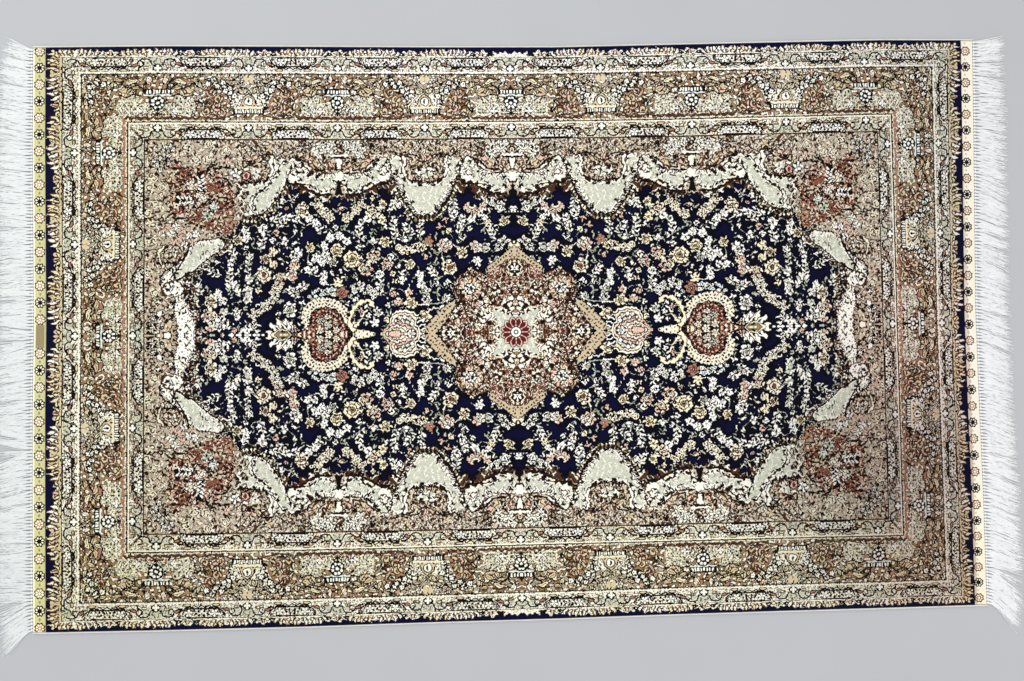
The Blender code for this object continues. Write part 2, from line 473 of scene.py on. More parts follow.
def cartouche(c, s, d):
    """A row of white flowers against the guard's line, and scrolls under it."""
    patch(c, [(s - 34, d(23.5)), (s + 34, d(23.5)), (s + 25, d(37)), (s - 25, d(37))], "ivory", "umber", 1.8)
    for k in (-1, 1):
        yarn(c, [(s, d(42)), (s + k * 6, d(39)), (s + k * 12, d(42.5)), (s + k * 15, d(38.5))], 1.7)
    for k in (-1, 1):
        rosette(c, s + k * 20, d(30), 6.4, 5, turn=90 * k, eye="ink")
        rosette(c, s + k * 29, d(26.5), 4.6, 4, "ivory", "ivory", "ink", 45)
        for x, y in ((3.4, 27), (9, 29.5), (4.5, 33), (11.5, 34)):
            disc(c, s + k * x, d(y), 1.7, "umber", 1.2)
        disc(c, s, d(29.5), 1.4, "rose")
        stroke(c, sided(s, k, (13, 38.8), (19, 40), (26, 38.2), d=d), 2.4, "ink")
        leaf(c, s + k * 16, d(43), 13, 4.4, tilt(0, k), 0.0, "umber", "buff")
        stroke(c, sided(s, k, (25, 37), (33, 33), (37, 27), d=d), 2)


def guard(c, length, units, half_units, d, seed, ground):
    low, high = sorted((d(BAND + 0.8), d(GUARD - 0.8)))
    block(c, 0, length, low, high, ground)
    for s in units:
        guard_unit(c, s, d)
    for s in half_units:
        cartouche(c, s, d)
    on = (c.y[:, None] > low) & (c.y[:, None] < high)
    tangle(c, seed, 6.0, ["ivory", ground], ["white", "pale_green", "white", "cream"], "umber", 0.0, 0.75,
        0.15, on)
    tangle(c, seed + 4, 5.6, ["pale_green"], ["ivory", "grey_green"], "umber", 0.75, 1.5, on=on)
    block(c, 0, length, *sorted((d(GUARD - 3.4), d(GUARD - 1.8))), "ivory")
    block(c, 0, length, *sorted((d(GUARD - 0.9), d(GUARD + 0.8))), "umber")


def dotted_ground(c, s, k, x0, x1, y0, y1, rng, dye="pale_green"):
    """Pale ground full of dark dots, in little rings and rows."""
    blob(c, [(s + k * x0, y0), (s + k * (x0 + x1) / 2, y0 - 3), (s + k * x1, y0 + 4),
        (s + k * (x1 + 3), y1 - 8), (s + k * (x1 - 6), y1), (s + k * (x0 + x1) / 2, y1 - 2),
        (s + k * x0, y1 + 1)], dye)
    for x in np.arange(x0 + 3, x1, 6.2):
        for y in np.arange(y0 + 2, y1, 5.4):
            px, py = s + k * (x + rng.uniform(-1.6, 1.6)), y + rng.uniform(-1.4, 1.4)
            pick = rng.random()
            if pick < 0.24:
                rosette(c, px, py, 3.4, 4, "ivory", "white", "umber" if pick < 0.12 else "olive", 45)
            else:
                disc(c, px, py, rng.uniform(1.2, 1.8), "ink" if pick < 0.7 else "olive",
                    rng.uniform(0.6, 1.0))


def unit_a(c, s, rng, tones):
    """Comb, blossom and fan of small flowers."""
    for k in (-1, 1):
        dotted_ground(c, s, k, 1, 55, 84, 113, rng)
        block(c, *sorted((s + k * 10, s + k * 26)), 82, 93, tones["ground"])
        disc(c, s + k * 47, 78, 6.5, tones["warm"])
        # scroll leaves at the outer side
        for x, y, l, w, a, b in ((22, 69, 18, 8, -22, 0.4), (24, 60, 20, 7, 14, -0.4),
                (42, 66, 17, 8, 30, 0.4), (30, 78, 15, 6, -6, -0.4), (56, 70, 14, 7, -50, 0.3),
                (50, 57, 13, 6, -10, 0.4), (36, 73, 11, 6, 60, 0.2), (64, 60, 12, 6, 60, 0.2)):
            leaf(c, s + k * x, y, l, w, tilt(a, k), b * k, "umber", "buff" if x % 4 else "straw", "brown")
        yarn(c, sided(s, k, (20, 72), (30, 66), (42, 70), (54, 64), (62, 68)), 2.2)
        yarn(c, sided(s, k, (24, 56), (34, 54), (46, 57), (58, 54)), 2, "brown")
        yarn(c, sided(s, k, (22, 82), (34, 80), (44, 84), (56, 80)), 2)
    patch(c, [(s - 10, 50), (s + 10, 50), (s + 11, 62), (s + 19, 66), (s + 20, 72), (s - 20, 72),
        (s - 19, 66), (s - 11, 62)], tones["block"])
    for k in (-1, 1):
        stroke(c, sided(s, k, (11, 62), (19.5, 66), (21, 80)), 2, "ink")
        leaf(c, s + k * 12, 64.5, 13, 8.5, -90, 0, "ink", "ivory")
        leaf(c, s + k * 12, 62, 7, 3, -90, 0, None, "pink")
    block(c, s - 19.5, s + 19.5, 71, 80, "ink")
    comb(c, s - 18, s + 18, 73.2, 78.4, 8, "white", "ink")
    block(c, s - 19, s + 19, 80, 81.8, "ice")
    rosette(c, s, 92.5, 11.6, turn=22)
    stroke(c, arc(s, 92.5, 3.6, 0, 360), 1.4, "ink")
    stroke(c, [(s, 102), (s, 112)], 2.4, "ink")
    for k in (-1, 1):
        leaf(c, s + k * 1, 110, 9, 4, -90 + k * 60, 0, "umber", "ivory")
        rosette(c, s + k * 11, 107, 4.2, 6, "straw")
        rosette(c, s + k * 28, 105, 5.2, 4, eye="ink")
        rosette(c, s + k * 25, 112, 3.6, 5, "ivory", line="umber")
        zig = [(s + k * x, 115.5 + 1.6 * (-1) ** (x // 6)) for x in range(0, 72, 6)]
        stroke(c, zig, 3.0, tones["line"])
        for x in range(3, 30, 6):
            leaf(c, s + k * x, 113, 5, 2.6, -90, 0, None, "deep_rust")


def curl(c, x, y, r, k, dye, edge="umber", width=3.4):
    """A hooked curl of thread."""
    stroke(c, spiral(x, y, r, r * 0.3, 90 - k * 90, 90 + k * 250, 12), width, dye, edge)


def unit_b(c, s, rng, tones):
    """Garlands of white blossoms that fall to a comb, between rust scrolls."""
    blob(c, [(s - 46, 51), (s - 32, 68), (s - 26, 84), (s - 23, 99), (s + 23, 99), (s + 26, 84),
        (s + 32, 68), (s + 46, 51)], "beige")
    blob(c, [(s - 21, 80), (s - 22, 99), (s + 22, 99), (s + 21, 80), (s, 72)], "pale_green")
    for k in (-1, 1):
        blob(c, sided(s, k, (38, 84), (44, 72), (55, 66), (68, 74), (74, 88), (68, 104), (52, 113),
            (36, 106)), tones["scroll"])
        blob(c, sided(s, k, (40, 92), (48, 82), (56, 88), (54, 100), (42, 103)), tones["warm"])
        blob(c, sided(s, k, (52, 70), (64, 76), (66, 90), (58, 98), (62, 108), (48, 111), (40, 100),
            (52, 92)), tones["curl"], "brown")
        for x, y, r, turn, dye in ((57, 77, 8, 1, "peach"), (48, 86, 6.5, -1, "buff"), (63, 93, 8, 1, "tan"),
                (49, 99, 7, -1, "pink"), (66, 105, 6, 1, "buff"), (41, 107, 5.5, 1, "peach")):
            curl(c, s + k * x, y, r, k * turn, dye, "brown", 2.4)
        for x, y, l, a in ((52, 72, 10, 60), (64, 84, 11, 20), (57, 94, 10, 100), (45, 101, 10, 150),
                (66, 97, 10, -40), (46, 89, 10, 80), (60, 110, 11, 10), (72, 92, 10, 90)):
            leaf(c, s + k * x, y, l, 4.4, tilt(a, k), 0.3, "umber", "buff" if x % 2 else "cream")
        # outer ground flowers
        rosette(c, s + k * 13, 57, 6.4, 6, "ivory", "ivory", "umber", 0, "ink")
        rosette(c, s + k * 31, 55, 5.4, 5, "cream", "rose", "umber", 20, "ink")
        rosette(c, s + k * 46, 54, 4.6, 5, "cream", "buff", "rust", 0)
        blob(c, sided(s, k, (2, 50), (8, 54), (6, 62), (1, 60)), "buff")
        for x, y, l, a in ((24, 64, 13, -30), (8, 68, 13, 50), (7, 79, 12, -50), (18, 80, 12, 110),
                (20, 60, 10, 10), (38, 60, 11, 30), (12, 66, 10, 0), (58, 57, 12, 10), (66, 64, 11, 50)):
            leaf(c, s + k * x, y, l, 5.4, tilt(a, k), 0.3, "umber", "straw" if x % 3 else "buff", "brown")
        for n, (x, y) in enumerate(curve(sided(s, k, (62, 61), (47, 64), (34, 71), (26, 82), (22, 94)), 3)):
            lift = (3.2, -3.6, 1.0)[n % 3]
            bloom(c, x + k * lift * 0.6, y + lift, 5.4, 5, 40 * n, "ink", ("white", "ivory")[n % 2], None,
                "ink", 0.14, False)
        dotted_ground(c, s, k, 6, 22, 84, 99, rng, "ivory")
    patch(c, [(s - 15, 100), (s - 8, 84), (s, 78), (s + 8, 84), (s + 15, 100)], "buff", "umber", 1.8)
    rings(c, s, 90, (7.4, "ink"), (5.8, "white"))
    disc(c, s, 90, 1.7, "ink", 2.2)
    for k in (-1, 1):
        disc(c, s + k * 9, 97, 1.5, "ink")
        stroke(c, [(s - 6, 74 + k * 5), (s + 6, 74 - k * 5)], 1.9)
        stroke(c, sided(s, k, (25, 98), (23.5, 110)), 2, "ink")
    disc(c, s, 74, 3, "khaki")
    block(c, s - 23, s + 23, 98.5, 101.5, "straw")
    block(c, s - 23, s + 23, 101.5, 109.5, "ink")
    comb(c, s - 22, s + 22, 102.6, 108.2, 12, "white", "ink")
    block(c, s - 24, s + 24, 109.8, 115, tones["scroll"])
    for k in (-1, 1):
        yarn(c, sided(s, k, (24, 111), (38, 115), (52, 116), (72, 114)), 2.4, tones["line"])


def border(length, pitch, tones, seed, bands):
    """One side's border, from the middle of the side (0) to its corner, by standard depth."""
    rng = np.random.default_rng(seed)
    c = Cloth(0, length, 0, FIELD + 1, int(length / KNOT_PITCH) + 1, STRIP_ROWS, "camel")
    stations = np.arange(-1, int(length / pitch) + 2) * pitch
    halves = stations + pitch / 2
    outer_band(c, length, *bands)
    block(c, 0, length, GUARD, MAIN, tones["ground"])
    block(c, 0, length, MAIN - 3, MAIN, "cream")
    block(c, 0, length, MAIN - 0.9, MAIN + 0.8, "umber")
    for k, s in enumerate(stations):
        if k % 2 == 1:
            unit_a(c, s, rng, tones)
    for k, s in enumerate(stations):
        if k % 2 == 0:
            unit_b(c, s, rng, tones)
    on = (c.y[:, None] > GUARD) & (c.y[:, None] < MAIN)
    ruffle(c, seed + 20, 8.0, 0.45)
    redye(c, "pale_green", "cream", on & (waves(c, seed + 33, 10.0) > -0.1))
    lots = waves(c, seed + 30, 24.0)
    redye(c, "camel", "khaki", lots > 0.5)
    redye(c, "camel", "beige", lots < -0.6)
    tangle(c, seed, 7.4, ["camel", "tan", "khaki", "beige"], ["ivory", "white", "straw", "pale_green"],
        "umber", -0.2, 0.7, 0.25, on)
    tangle(c, seed + 5, 6.0, ["pale_green", "peach", "ivory", "cream"], ["ivory", "straw", "pale_green"],
        "umber", 0.55, 1.2, 0.1, on)
    guard(c, length, stations, halves, lambda y: y, 71, "ivory")
    guard(c, length, stations, halves, lambda y: MAIN + GUARD - y, 72, tones["guard"])
    block(c, 0, length, FIELD - 1.2, FIELD + 0.9, "umber")
    return c


# ---- whole cloth
HALF_L, HALF_W = 733.0, 457.7
COLS, ROWS = 940, 588   # knots of a quarter
FAR = 400   # deeper than any border
LONG_LINES = ((457.7, 0), (441, BAND), (414, GUARD), (338, MAIN), (309, FIELD))
SHORT_LINES = ((733, 0), (709, BAND), (682, GUARD), (613, MAIN), (588, FIELD))


def lay_border(q, long_side, short_side):
    """Lays both borders into the quarter: each knot takes the side whose border it is less deep in."""
    pos, deep = np.array(LONG_LINES).T
    dl = np.interp(q.y, pos[::-1], deep[::-1], left=FAR)
    pos, deep = np.array(SHORT_LINES).T
    ds = np.interp(q.x, pos[::-1], deep[::-1], left=FAR)
    dl, ds = dl[:, None] + 0 * ds[None], ds[None] + 0 * dl[:, None]
    xs, ys = q.x[None] + 0 * dl, q.y[:, None] + 0 * ds
    for strip, depth, other, along in ((long_side, dl, ds, xs), (short_side, ds, dl, ys)):
        use = (depth <= other) & (depth <= FIELD + 0.6)
        r = np.clip((depth / strip.dy).astype(int), 0, strip.dye.shape[0] - 1)
        k = np.clip((along / strip.dx).astype(int), 0, strip.dye.shape[1] - 1)
        q.dye[use] = strip.dye[r, k][use]


# ---- field
GROUND_EDGE = ((0, 222), (30, 222), (46, 229), (62, 240), (84, 240), (94, 224), (103, 212), (113, 200),
    (121, 189), (128, 183), (157, 183), (164, 189), (172, 200), (182, 212), (191, 224), (201, 240),
    (223, 240), (240, 228), (258, 221), (283, 218), (308, 221), (326, 228), (343, 240), (366, 240),
    (376, 224), (386, 212), (396, 200), (408, 189), (424, 184), (444, 186), (452, 168), (476, 164),
    (474, 145), (477, 128), (487, 116), (500, 106), (515, 97), (529, 88), (531, 62), (522, 48), (514, 34),
    (510, 18), (510, 0))


def feather(c, points, size, lean=0.6, gap=4.4, side=1, width=1.9, dye="umber"):
    """Short strokes that stand off a line, like a barb."""
    p = np.asarray(points, float)
    d = np.diff(p, axis=0)
    seg = np.hypot(*d.T)
    along = np.concatenate([[0], np.cumsum(seg)])
    for n, s in enumerate(np.arange(gap / 2, along[-1], gap)):
        k = min(np.searchsorted(along, s) - 1, len(d) - 1)
        t = d[k] / seg[k]
        at = p[k] + t * (s - along[k])
        out = np.array([-t[1], t[0]]) * side
        reach = size * (0.75 + 0.25 * (n % 2))
        stroke(c, [at, at + out * reach + t * reach * lean], width, dye, taper=0.35)


def swag_unit(c, cx):
    """A pale swag hung between two buds, with a vase and a basket of flowers over it."""
    for k in (-1, 1):
        patch(c, sided(cx, k, (0, 258), (34, 258), (48, 262), (66, 283), (58, 292), (0, 284)), "sand")
        patch(c, curve(sided(cx, k, (0, 257), (30, 256), (46, 259), (62, 266), (66, 250), (62, 240),
            (46, 231), (28, 224), (12, 226), (5, 240), (0, 244)), 4, True), "pale_green")
        low = curve(sided(cx, k, (70, 241), (60, 237), (45, 228), (30, 222), (12, 222)))
        stroke(c, low, 4.6)
        yarn(c, sided(cx, k, (70, 236), (56, 231), (44, 224)), 2, "brown")
        for x, y in ((20, 228), (28, 226.5), (13, 230), (38, 231), (46, 235)):
            disc(c, cx + k * x, y, 2.3, "umber", 0.8)
        yarn(c, sided(cx, k, (36, 233), (46, 237), (58, 238.5)), 2.2)
        leaf(c, cx + k * 47, 233.5, 9, 3.6, tilt(20, k), 0, None, "straw")
        # upper edge
        stroke(c, sided(cx, k, (7, 256), (28, 256)), 2.5)
        feather(c, sided(cx, k, (14, 256), (30, 255.5), (44, 258)), 7, 0.5, 4.8, -k)
        feather(c, sided(cx, k, (50, 246), (53, 262)), 7, 0.5, 4.4, k)
        edge = curve(sided(cx, k, (22, 261), (36, 261), (46, 267), (56, 276), (68, 281)))
        stroke(c, edge, 2.8)
        yarn(c, sided(cx, k, (42, 258), (52, 264), (57, 272), (66, 277)), 2.6)
        yarn(c, sided(cx, k, (47, 264), (53, 269)), 3.2, "ivory")
        yarn(c, sided(cx, k, (24, 261), (22, 266), (27, 269.5), (31, 267)), 2.2)
        yarn(c, sided(cx, k, (13, 274), (15, 266), (10, 262)), 2.6)
        yarn(c, sided(cx, k, (20, 281), (26, 275), (22, 272)), 2.4)
        for x, y, l, w, a, dye in ((14, 264, 13, 5, 75, "pink"), (34, 264, 14, 6, 50, "buff"),
                (40, 276, 13, 5, 10, "pink")):
            leaf(c, cx + k * x, y, l, w, tilt(a, k), 0.3, "brown", dye)
        # basket of flowers
        for n, (x, y) in enumerate(((33, 285), (38, 293), (31, 301), (21, 302), (11, 303), (14, 293),
                (25, 293))):
            rosette(c, cx + k * x, y, 6.2, 5, "white", ("ice", "pink")[n % 2], "ink", 50 * n, "ink")
        for n, (x, y) in enumerate(((54, 291), (63, 296), (72, 290), (48, 300), (58, 303))):
            rosette(c, cx + k * x, y, 5.6, 5, ("rose", "pink")[n % 2], "rust", "umber", 40 * n)
        stroke(c, sided(cx, k, (24, 284), (24, 274)), 2, "ink")
    patch(c, [(cx - 6, 280), (cx + 6, 280), (cx + 4, 262), (cx - 4, 262)], "ivory", "umber", 2.2)
    rosette(c, cx, 293, 9.5, 6, "pink", "cream", "umber", 30, "rust")
    block(c, cx - 17, cx + 17, 280.3, 282.8, "ink")
    block(c, cx - 16, cx + 16, 282.8, 285.6, "white")
    disc(c, cx, 252, 5.5, "ivory", 0.8)
    stroke(c, [(cx - 10, 245), (cx, 241), (cx + 10, 245)], 2.4, "ink")
    patch(c, [(cx - 1.5, 243), (cx + 1.5, 243), (cx + 3.5, 232), (cx + 8, 220), (cx - 8, 220),
        (cx - 3.5, 232)], "ink")


def bud(c, cx):
    """An ivory bud with a flat foot."""
    patch(c, curve([(cx - 9, 241), (cx + 9, 241), (cx + 15, 256), (cx + 13, 270), (cx + 4, 281),
        (cx - 8, 279), (cx - 14, 264)], 4, True), "pale_green", "umber", 2.2)
    disc(c, cx, 251, 6.5, "ivory", 1.1)
    stroke(c, spiral(cx, 258, 9, 3, 90, 420), 1.8, "brown")
    for k in (-1, 1):
        feather(c, sided(cx, k, (15, 263), (15, 243)), 8, 0.3, 4.4, k)
        feather(c, sided(cx, k, (10, 276), (14, 262)), 4.5, 0.6, 4.4, -k)
        stroke(c, sided(cx, k, (19, 247), (9, 240)), 2.6)
        stroke(c, sided(cx, k, (20, 238), (10, 226)), 5, "brown")
        stroke(c, sided(cx, k, (22, 235), (14, 224)), 2, "cream")
    patch(c, [(cx - 9, 238), (cx + 9, 238), (cx + 5, 222), (cx - 5, 222)], "navy")
    block(c, cx - 11, cx + 11, 237.5, 241.5, "ink")
    for x, y, a in ((-3, 258, 60), (3, 254, 30), (6, 263, -30), (-1, 268, 80)):
        squiggle(c, cx + x, y, 2.6, a, 1.7, "umber")


def lobe(c, cx):
    """A pale wedge pointing into the ground, with barbed edges, and the cup that stands in it."""
    for k in (-1, 1):
        edge = curve(sided(cx, k, (56, 258), (49, 242), (43, 226), (35, 212), (26, 200), (19, 190),
            (12, 185), (0, 184)))
        patch(c, np.vstack([[(cx, 262)], [(cx + k * 40, 284)], [(cx + k * 60, 276)], edge]), "pale_green")
        patch(c, sided(cx, k, (0, 240), (20, 243), (32, 254), (38, 264), (38, 282), (0, 284)), "sand")
        disc(c, cx + k * 6, 256, 11, "pale_green", 0.7)
        # barbed edge
        rim = edge[3:]
        at, out = along(rim, 5.0)
        stroke(c, rim, 2.4)
        for n, (x, y) in enumerate(at + 4.2 * k * out):
            rings(c, x, y, (3.9, "ink"), (2.0, ("khaki", "cream", "ivory")[n % 3]))
        feather(c, rim, 7.5, 0.9, 4.6, -k, 2.4)
        # cup
        stroke(c, sided(cx, k, (22, 241), (30, 250)), 3.2, "ink")
        yarn(c, sided(cx, k, (30, 250), (36, 257), (39, 263)), 2.4)
        yarn(c, sided(cx, k, (35, 282), (33, 272), (36, 262), (32, 253)), 4.2, "ivory", "umber")
        yarn(c, sided(cx, k, (33, 281), (27, 283), (20, 278)), 2.6)
        yarn(c, sided(cx, k, (52, 290), (42, 283), (30, 286), (16, 284), (8, 280), (2, 275), (0, 269)), 2.6)
        stroke(c, arc(cx + k * 8, 270, 4.2, tilt(100, k), 100 + k * 280), 2.3)
        leaf(c, cx + k * 3, 276, 14, 6, tilt(62, k), 0.3, "brown", "pink")
        feather(c, sided(cx, k, (24, 242), (12, 240), (0, 239)), 10, 0.25, 4.8, -k, 2.6)
        feather(c, sided(cx, k, (26, 246), (12, 242), (0, 241)), 5, -0.4, 5.0, k, 2.2)
        for x, y, r in ((19, 261, 2.4), (15, 254, 2.7), (25, 269, 1.8), (10, 258, 1.6)):
            disc(c, cx + k * x, y, r, "umber", 0.8)
        rosette(c, cx + k * 31, 295, 6.8, 5, "buff", "cream", "umber", 30, "ink")
        rosette(c, cx + k * 12, 295, 6, 5, "pink", "cream", "umber", 10, "ink")
    foot = curve([(cx - 20, 184), (cx - 8, 186), (cx, 183), (cx + 8, 186), (cx + 20, 184)])
    stroke(c, foot, 2.6)
    feather(c, foot, 5, 0.4, 4.6, -1)
    feather(c, foot, 4, 0.2, 7.0, -1, dye="khaki")


def blossom(c, x, y, r, kind):
    """The ground's flowers, by name of their colouring: round petals apart from each other."""
    petal, heart, dot = {"ring": ("cream", "rust", "umber"), "pink": ("pink", "cream", "rust"),
        "peach": ("peach", "cream", "umber"), "butter": ("straw", "khaki", "olive"),
        "white": ("white", "ivory", "umber"), "green": ("pale_green", "sage", "umber"),
        "daisy": ("cream", "rust", "umber"), "crimson": ("rose", "crimson", "crimson"),
        "small": ("white", "pale_green", "umber")}[kind]
    petals = 7 if r > 12 else 6 if r > 7.5 else 5
    disc(c, x, y, 0.7 * r, petal)
    for n, a in enumerate(turns(petals, 17 * x)):
        disc(c, *polar(x, y, r * (0.60, 0.74, 0.66)[n % 3], a), 1.9 * r / petals, petal)
        cut = a + np.pi / petals
        stroke(c, [polar(x, y, 0.62 * r, cut), polar(x, y, 1.05 * r, cut)], 1.5, "midnight")
        if r > 8:
            disc(c, *polar(x, y, 0.50 * r, a), 1.2, dot)
    if r > 8.5:
        stroke(c, arc(x, y, 0.56 * r, 0, 360), 1.2)
    rings(c, x, y, (0.32 * r, "umber"), (0.24 * r, heart if r > 7.5 else petal),
        (max(0.10 * r, 0.8), "white" if kind in ("ring", "crimson") else "ink"))


# The ground's flowers: across, up, radius, colouring
GROUND_FLOWERS = ((47, 135, 9, "green"), (62, 137, 10, "pink"), (84, 128, 9.5, "butter"),
    (112, 140, 13, "pink"), (105, 104, 14, "daisy"), (137, 147, 7, "crimson"), (168, 110, 9, "butter"),
    (205, 111, 11, "pink"), (152, 93, 7.5, "white"), (144, 67, 9, "green"), (150, 80, 7, "green"),
    (60, 114, 8, "white"), (170, 66, 7, "pink"), (166, 49, 11, "butter"), (142, 52, 9, "white"),
    (110, 55, 8, "green"), (113, 38, 7, "white"), (145, 28, 10.5, "butter"), (186, 51, 7, "peach"),
    (140, 8, 9, "white"), (227, 122, 12, "peach"), (240, 103, 11.5, "peach"), (261, 119, 16, "butter"),
    (217, 95, 7.5, "white"), (208, 146, 10, "butter"), (228, 147, 6.5, "green"), (286, 133, 11.5, "butter"),
    (270, 148, 6.5, "white"), (282, 156, 7, "white"), (296, 153, 7.5, "white"), (306, 141, 6.5, "white"),
    (305, 127, 7, "green"), (293, 115, 8.5, "green"), (320, 121, 8, "white"), (310, 114, 6.5, "white"),
    (329, 138, 8.5, "butter"), (321, 103, 6.5, "white"), (332, 102, 6.5, "white"), (306, 95, 6, "white"),
    (308, 85, 7, "white"), (285, 82, 8, "butter"), (278, 65, 10, "crimson"), (352, 126, 10, "white"),
    (354, 108, 8, "peach"), (358, 93, 8.5, "pink"), (378, 90, 10, "peach"), (362, 40, 13, "green"),
    (403, 95, 14, "ring"), (426, 88, 8, "green"), (400, 120, 9.5, "daisy"), (455, 115, 6.5, "white"),
    (428, 70, 7.5, "green"), (428, 57, 7.5, "green"), (486, 53, 11, "ring"), (475, 65, 7.5, "white"),
    (467, 54, 7, "white"), (490, 32, 11, "peach"), (474, 15, 10, "white"), (466, 36, 7, "green"),
    (445, 38, 6, "white"), (445, 28, 5, "white"), (487, 12, 7, "peach"), (404, 168, 8, "white"),
    (432, 165, 7, "white"), (444, 150, 9, "butter"), (430, 152, 7, "white"), (228, 195, 12, "ring"),
    (342, 198, 12.5, "ring"), (62, 195, 9, "peach"), (74, 200, 7, "peach"), (50, 200, 7, "pink"),
    (45, 209, 5, "white"), (48, 185, 5, "white"), (68, 182, 7.5, "white"), (42, 176, 6, "butter"),
    (15, 178, 9, "butter"), (213, 182, 8, "butter"), (236, 183, 6.5, "white"), (212, 206, 8, "butter"),
    (331, 185, 6.5, "white"), (351, 183, 6.5, "white"), (320, 178, 6.5, "green"), (246, 177, 6, "green"),
    (370, 148, 6.5, "white"), (388, 131, 7, "butter"), (388, 112, 6.5, "butter"), (372, 212, 5, "small"),
    (352, 222, 5, "small"), (185, 205, 5, "small"), (220, 35, 8, "green"), (225, 18, 7, "green"),
    (268, 28, 5, "small"))
CHAINS = (   # garlands of dotted florets: points, breadth, colouring
    (((145, 141), (160, 136), (175, 132), (190, 138)), 14, "straw"),
    (((150, 150), (128, 132), (123, 124)), 9, "leaf_green"),
    (((224, 62), (236, 70), (250, 74), (262, 72)), 15, "pale_green"),
    (((290, 68), (305, 68), (318, 65), (330, 58)), 13, "ice"),
    (((376, 84), (386, 66), (392, 50), (404, 44), (414, 38), (424, 26)), 15, "buff"),
    (((335, 80), (345, 74), (356, 68)), 13, "pale_green"),
    (((243, 209), (252, 200), (262, 193), (270, 184), (274, 176)), 14, "straw"),
    (((323, 209), (314, 200), (304, 193), (296, 184), (292, 176)), 14, "straw"),
    (((20, 196), (24, 206), (36, 210)), 15, "pale_green"),
    (((12, 150), (22, 140), (30, 128)), 12, "pale_green"),
    (((478, 28), (490, 24), (498, 34)), 16, "ivory"),
    (((346, 134), (352, 118), (356, 100), (364, 90)), 13, "ivory"))
SPRIGS = (   # ferns on the ground: foot across and up, length, angle
    (456, 68, 34, 88), (190, 150, 34, 80), (88, 158, 26, 100), (150, 152, 22, 85), (95, 178, 20, 70),
    (428, 98, 26, 95), (408, 132, 24, 100), (446, 120, 22, 60), (215, 62, 22, 85), (120, 88, 20, 40),
    (380, 168, 26, 130), (160, 158, 22, 40), (30, 150, 24, 60), (250, 152, 18, 90), (310, 160, 22, 60),
    (470, 95, 22, 20), (500, 62, 18, 70), (440, 62, 20, 60), (180, 78, 18, 90), (392, 180, 20, 160),
    (100, 215, 22, 250), (190, 218, 20, 290), (455, 12, 22, 30), (438, 4, 26, 150), (345, 60, 22, 30))


def sprig(c, x, y, length, angle):
    """A fern: pairs of small white leaves along a thin stem."""
    foot, t = np.array([x, y]), heading(angle)
    stroke(c, [foot, foot + t * length], 1.5, "mist")
    for n, s in enumerate(np.arange(3, length, 7.0)):
        for k in (-1, 1):
            leaf(c, *(foot + t * (s + 2 * k)), 8.5, 3.5, angle + k * 48, 0.2 * k, None,
                ("white", "ivory", "mist")[(n + k) % 3])
    leaf(c, *(foot + t * (length - 2)), 8, 3.4, angle, 0, None, "white")


def ground_flowers(c, rng):
    ring = np.array(GROUND_EDGE + ((0, -3), (-3, -3), (-3, 222)), float)
    patch(c, ring, "navy")
    for x, y, length, angle in SPRIGS:
        sprig(c, x, y, length, angle)
    stops = np.array([row[:2] for row in GROUND_FLOWERS], float)
    for a, b in zip(stops, stops[1:]):
        if np.hypot(*(b - a)) < 44:
            bow = (a + b) / 2 + 0.22 * np.array([a[1] - b[1], b[0] - a[0]])
            yarn(c, [a, bow, b], 1.5, "mist")
    for points, breadth, dye in CHAINS:
        florets(c, rng, points, breadth, dye)
    for x, y, r, kind in GROUND_FLOWERS:
        blossom(c, x, y, r, kind)
    lots = waves(c, 88, 16.0)
    for old, new, share in (("grey_green", "ivory", -9), ("pale_green", "white", -0.3),
            ("sage", "pale_green", -0.5), ("mist", "ivory", 0.0), ("pink", "ivory", 0.0),
            ("peach", "cream", -0.3), ("peach", "pink", -9), ("leaf_green", "sage", -9),
            ("buff", "cream", -9)):
        redye(c, old, new, lots > share)
    thick = waves(c, 92, 60.0) > -0.8

    def crowded(x, y):
        return thick[int((y - c.low) / c.dy), int((x - c.left) / c.dx)]

    def floret(x, y):
        if not crowded(x, y):
            return
        tone = ("white", "ivory", "white", "pink", "straw")[rng.integers(5)]
        r = rng.uniform(3.6, 5.0)
        turn = rng.uniform(0, 2)
        for a in turn + np.arange(4) * np.pi / 2:
            disc(c, *polar(x, y, 0.62 * r, a), 0.40 * r, tone)
        disc(c, x, y, 0.9, "ink")

    def leaves(x, y):
        if not crowded(x, y):
            return
        a = rng.uniform(0, 360)
        fill = ("white", "ivory", "white", "mist", "cream")[rng.integers(5)]
        stroke(c, [polar(x, y, -5, np.radians(a)), (x, y)], 1.3, "sage")
        for turn in (-42, 42)[:rng.integers(1, 3)]:
            leaf(c, x, y, rng.uniform(6, 8.5), rng.uniform(2.8, 3.6), a + turn, turn / 150, None, fill)

    strew(c, rng, 2, 535, 2, 240, 16.5, 6.6, ["navy"], floret)
    strew(c, rng, 2, 535, 2, 240, 12.0, 5.8, ["navy"], leaves)
    pale = showing(c, ("white", "ivory", "pale_green", "cream", "straw", "pink", "peach", "mist"))
    clouds(c, pale, waves(c, 96, 4.8), (0.95, "umber"))
    bare = c.dye == DYE["navy"]
    scribble(c, 85, 15.0, 1.3, ["navy"], "mist", ["white", "pale_green", "cream"], -0.5, 1.9,
        bare & ~rim_of(bare, 3) & thick)


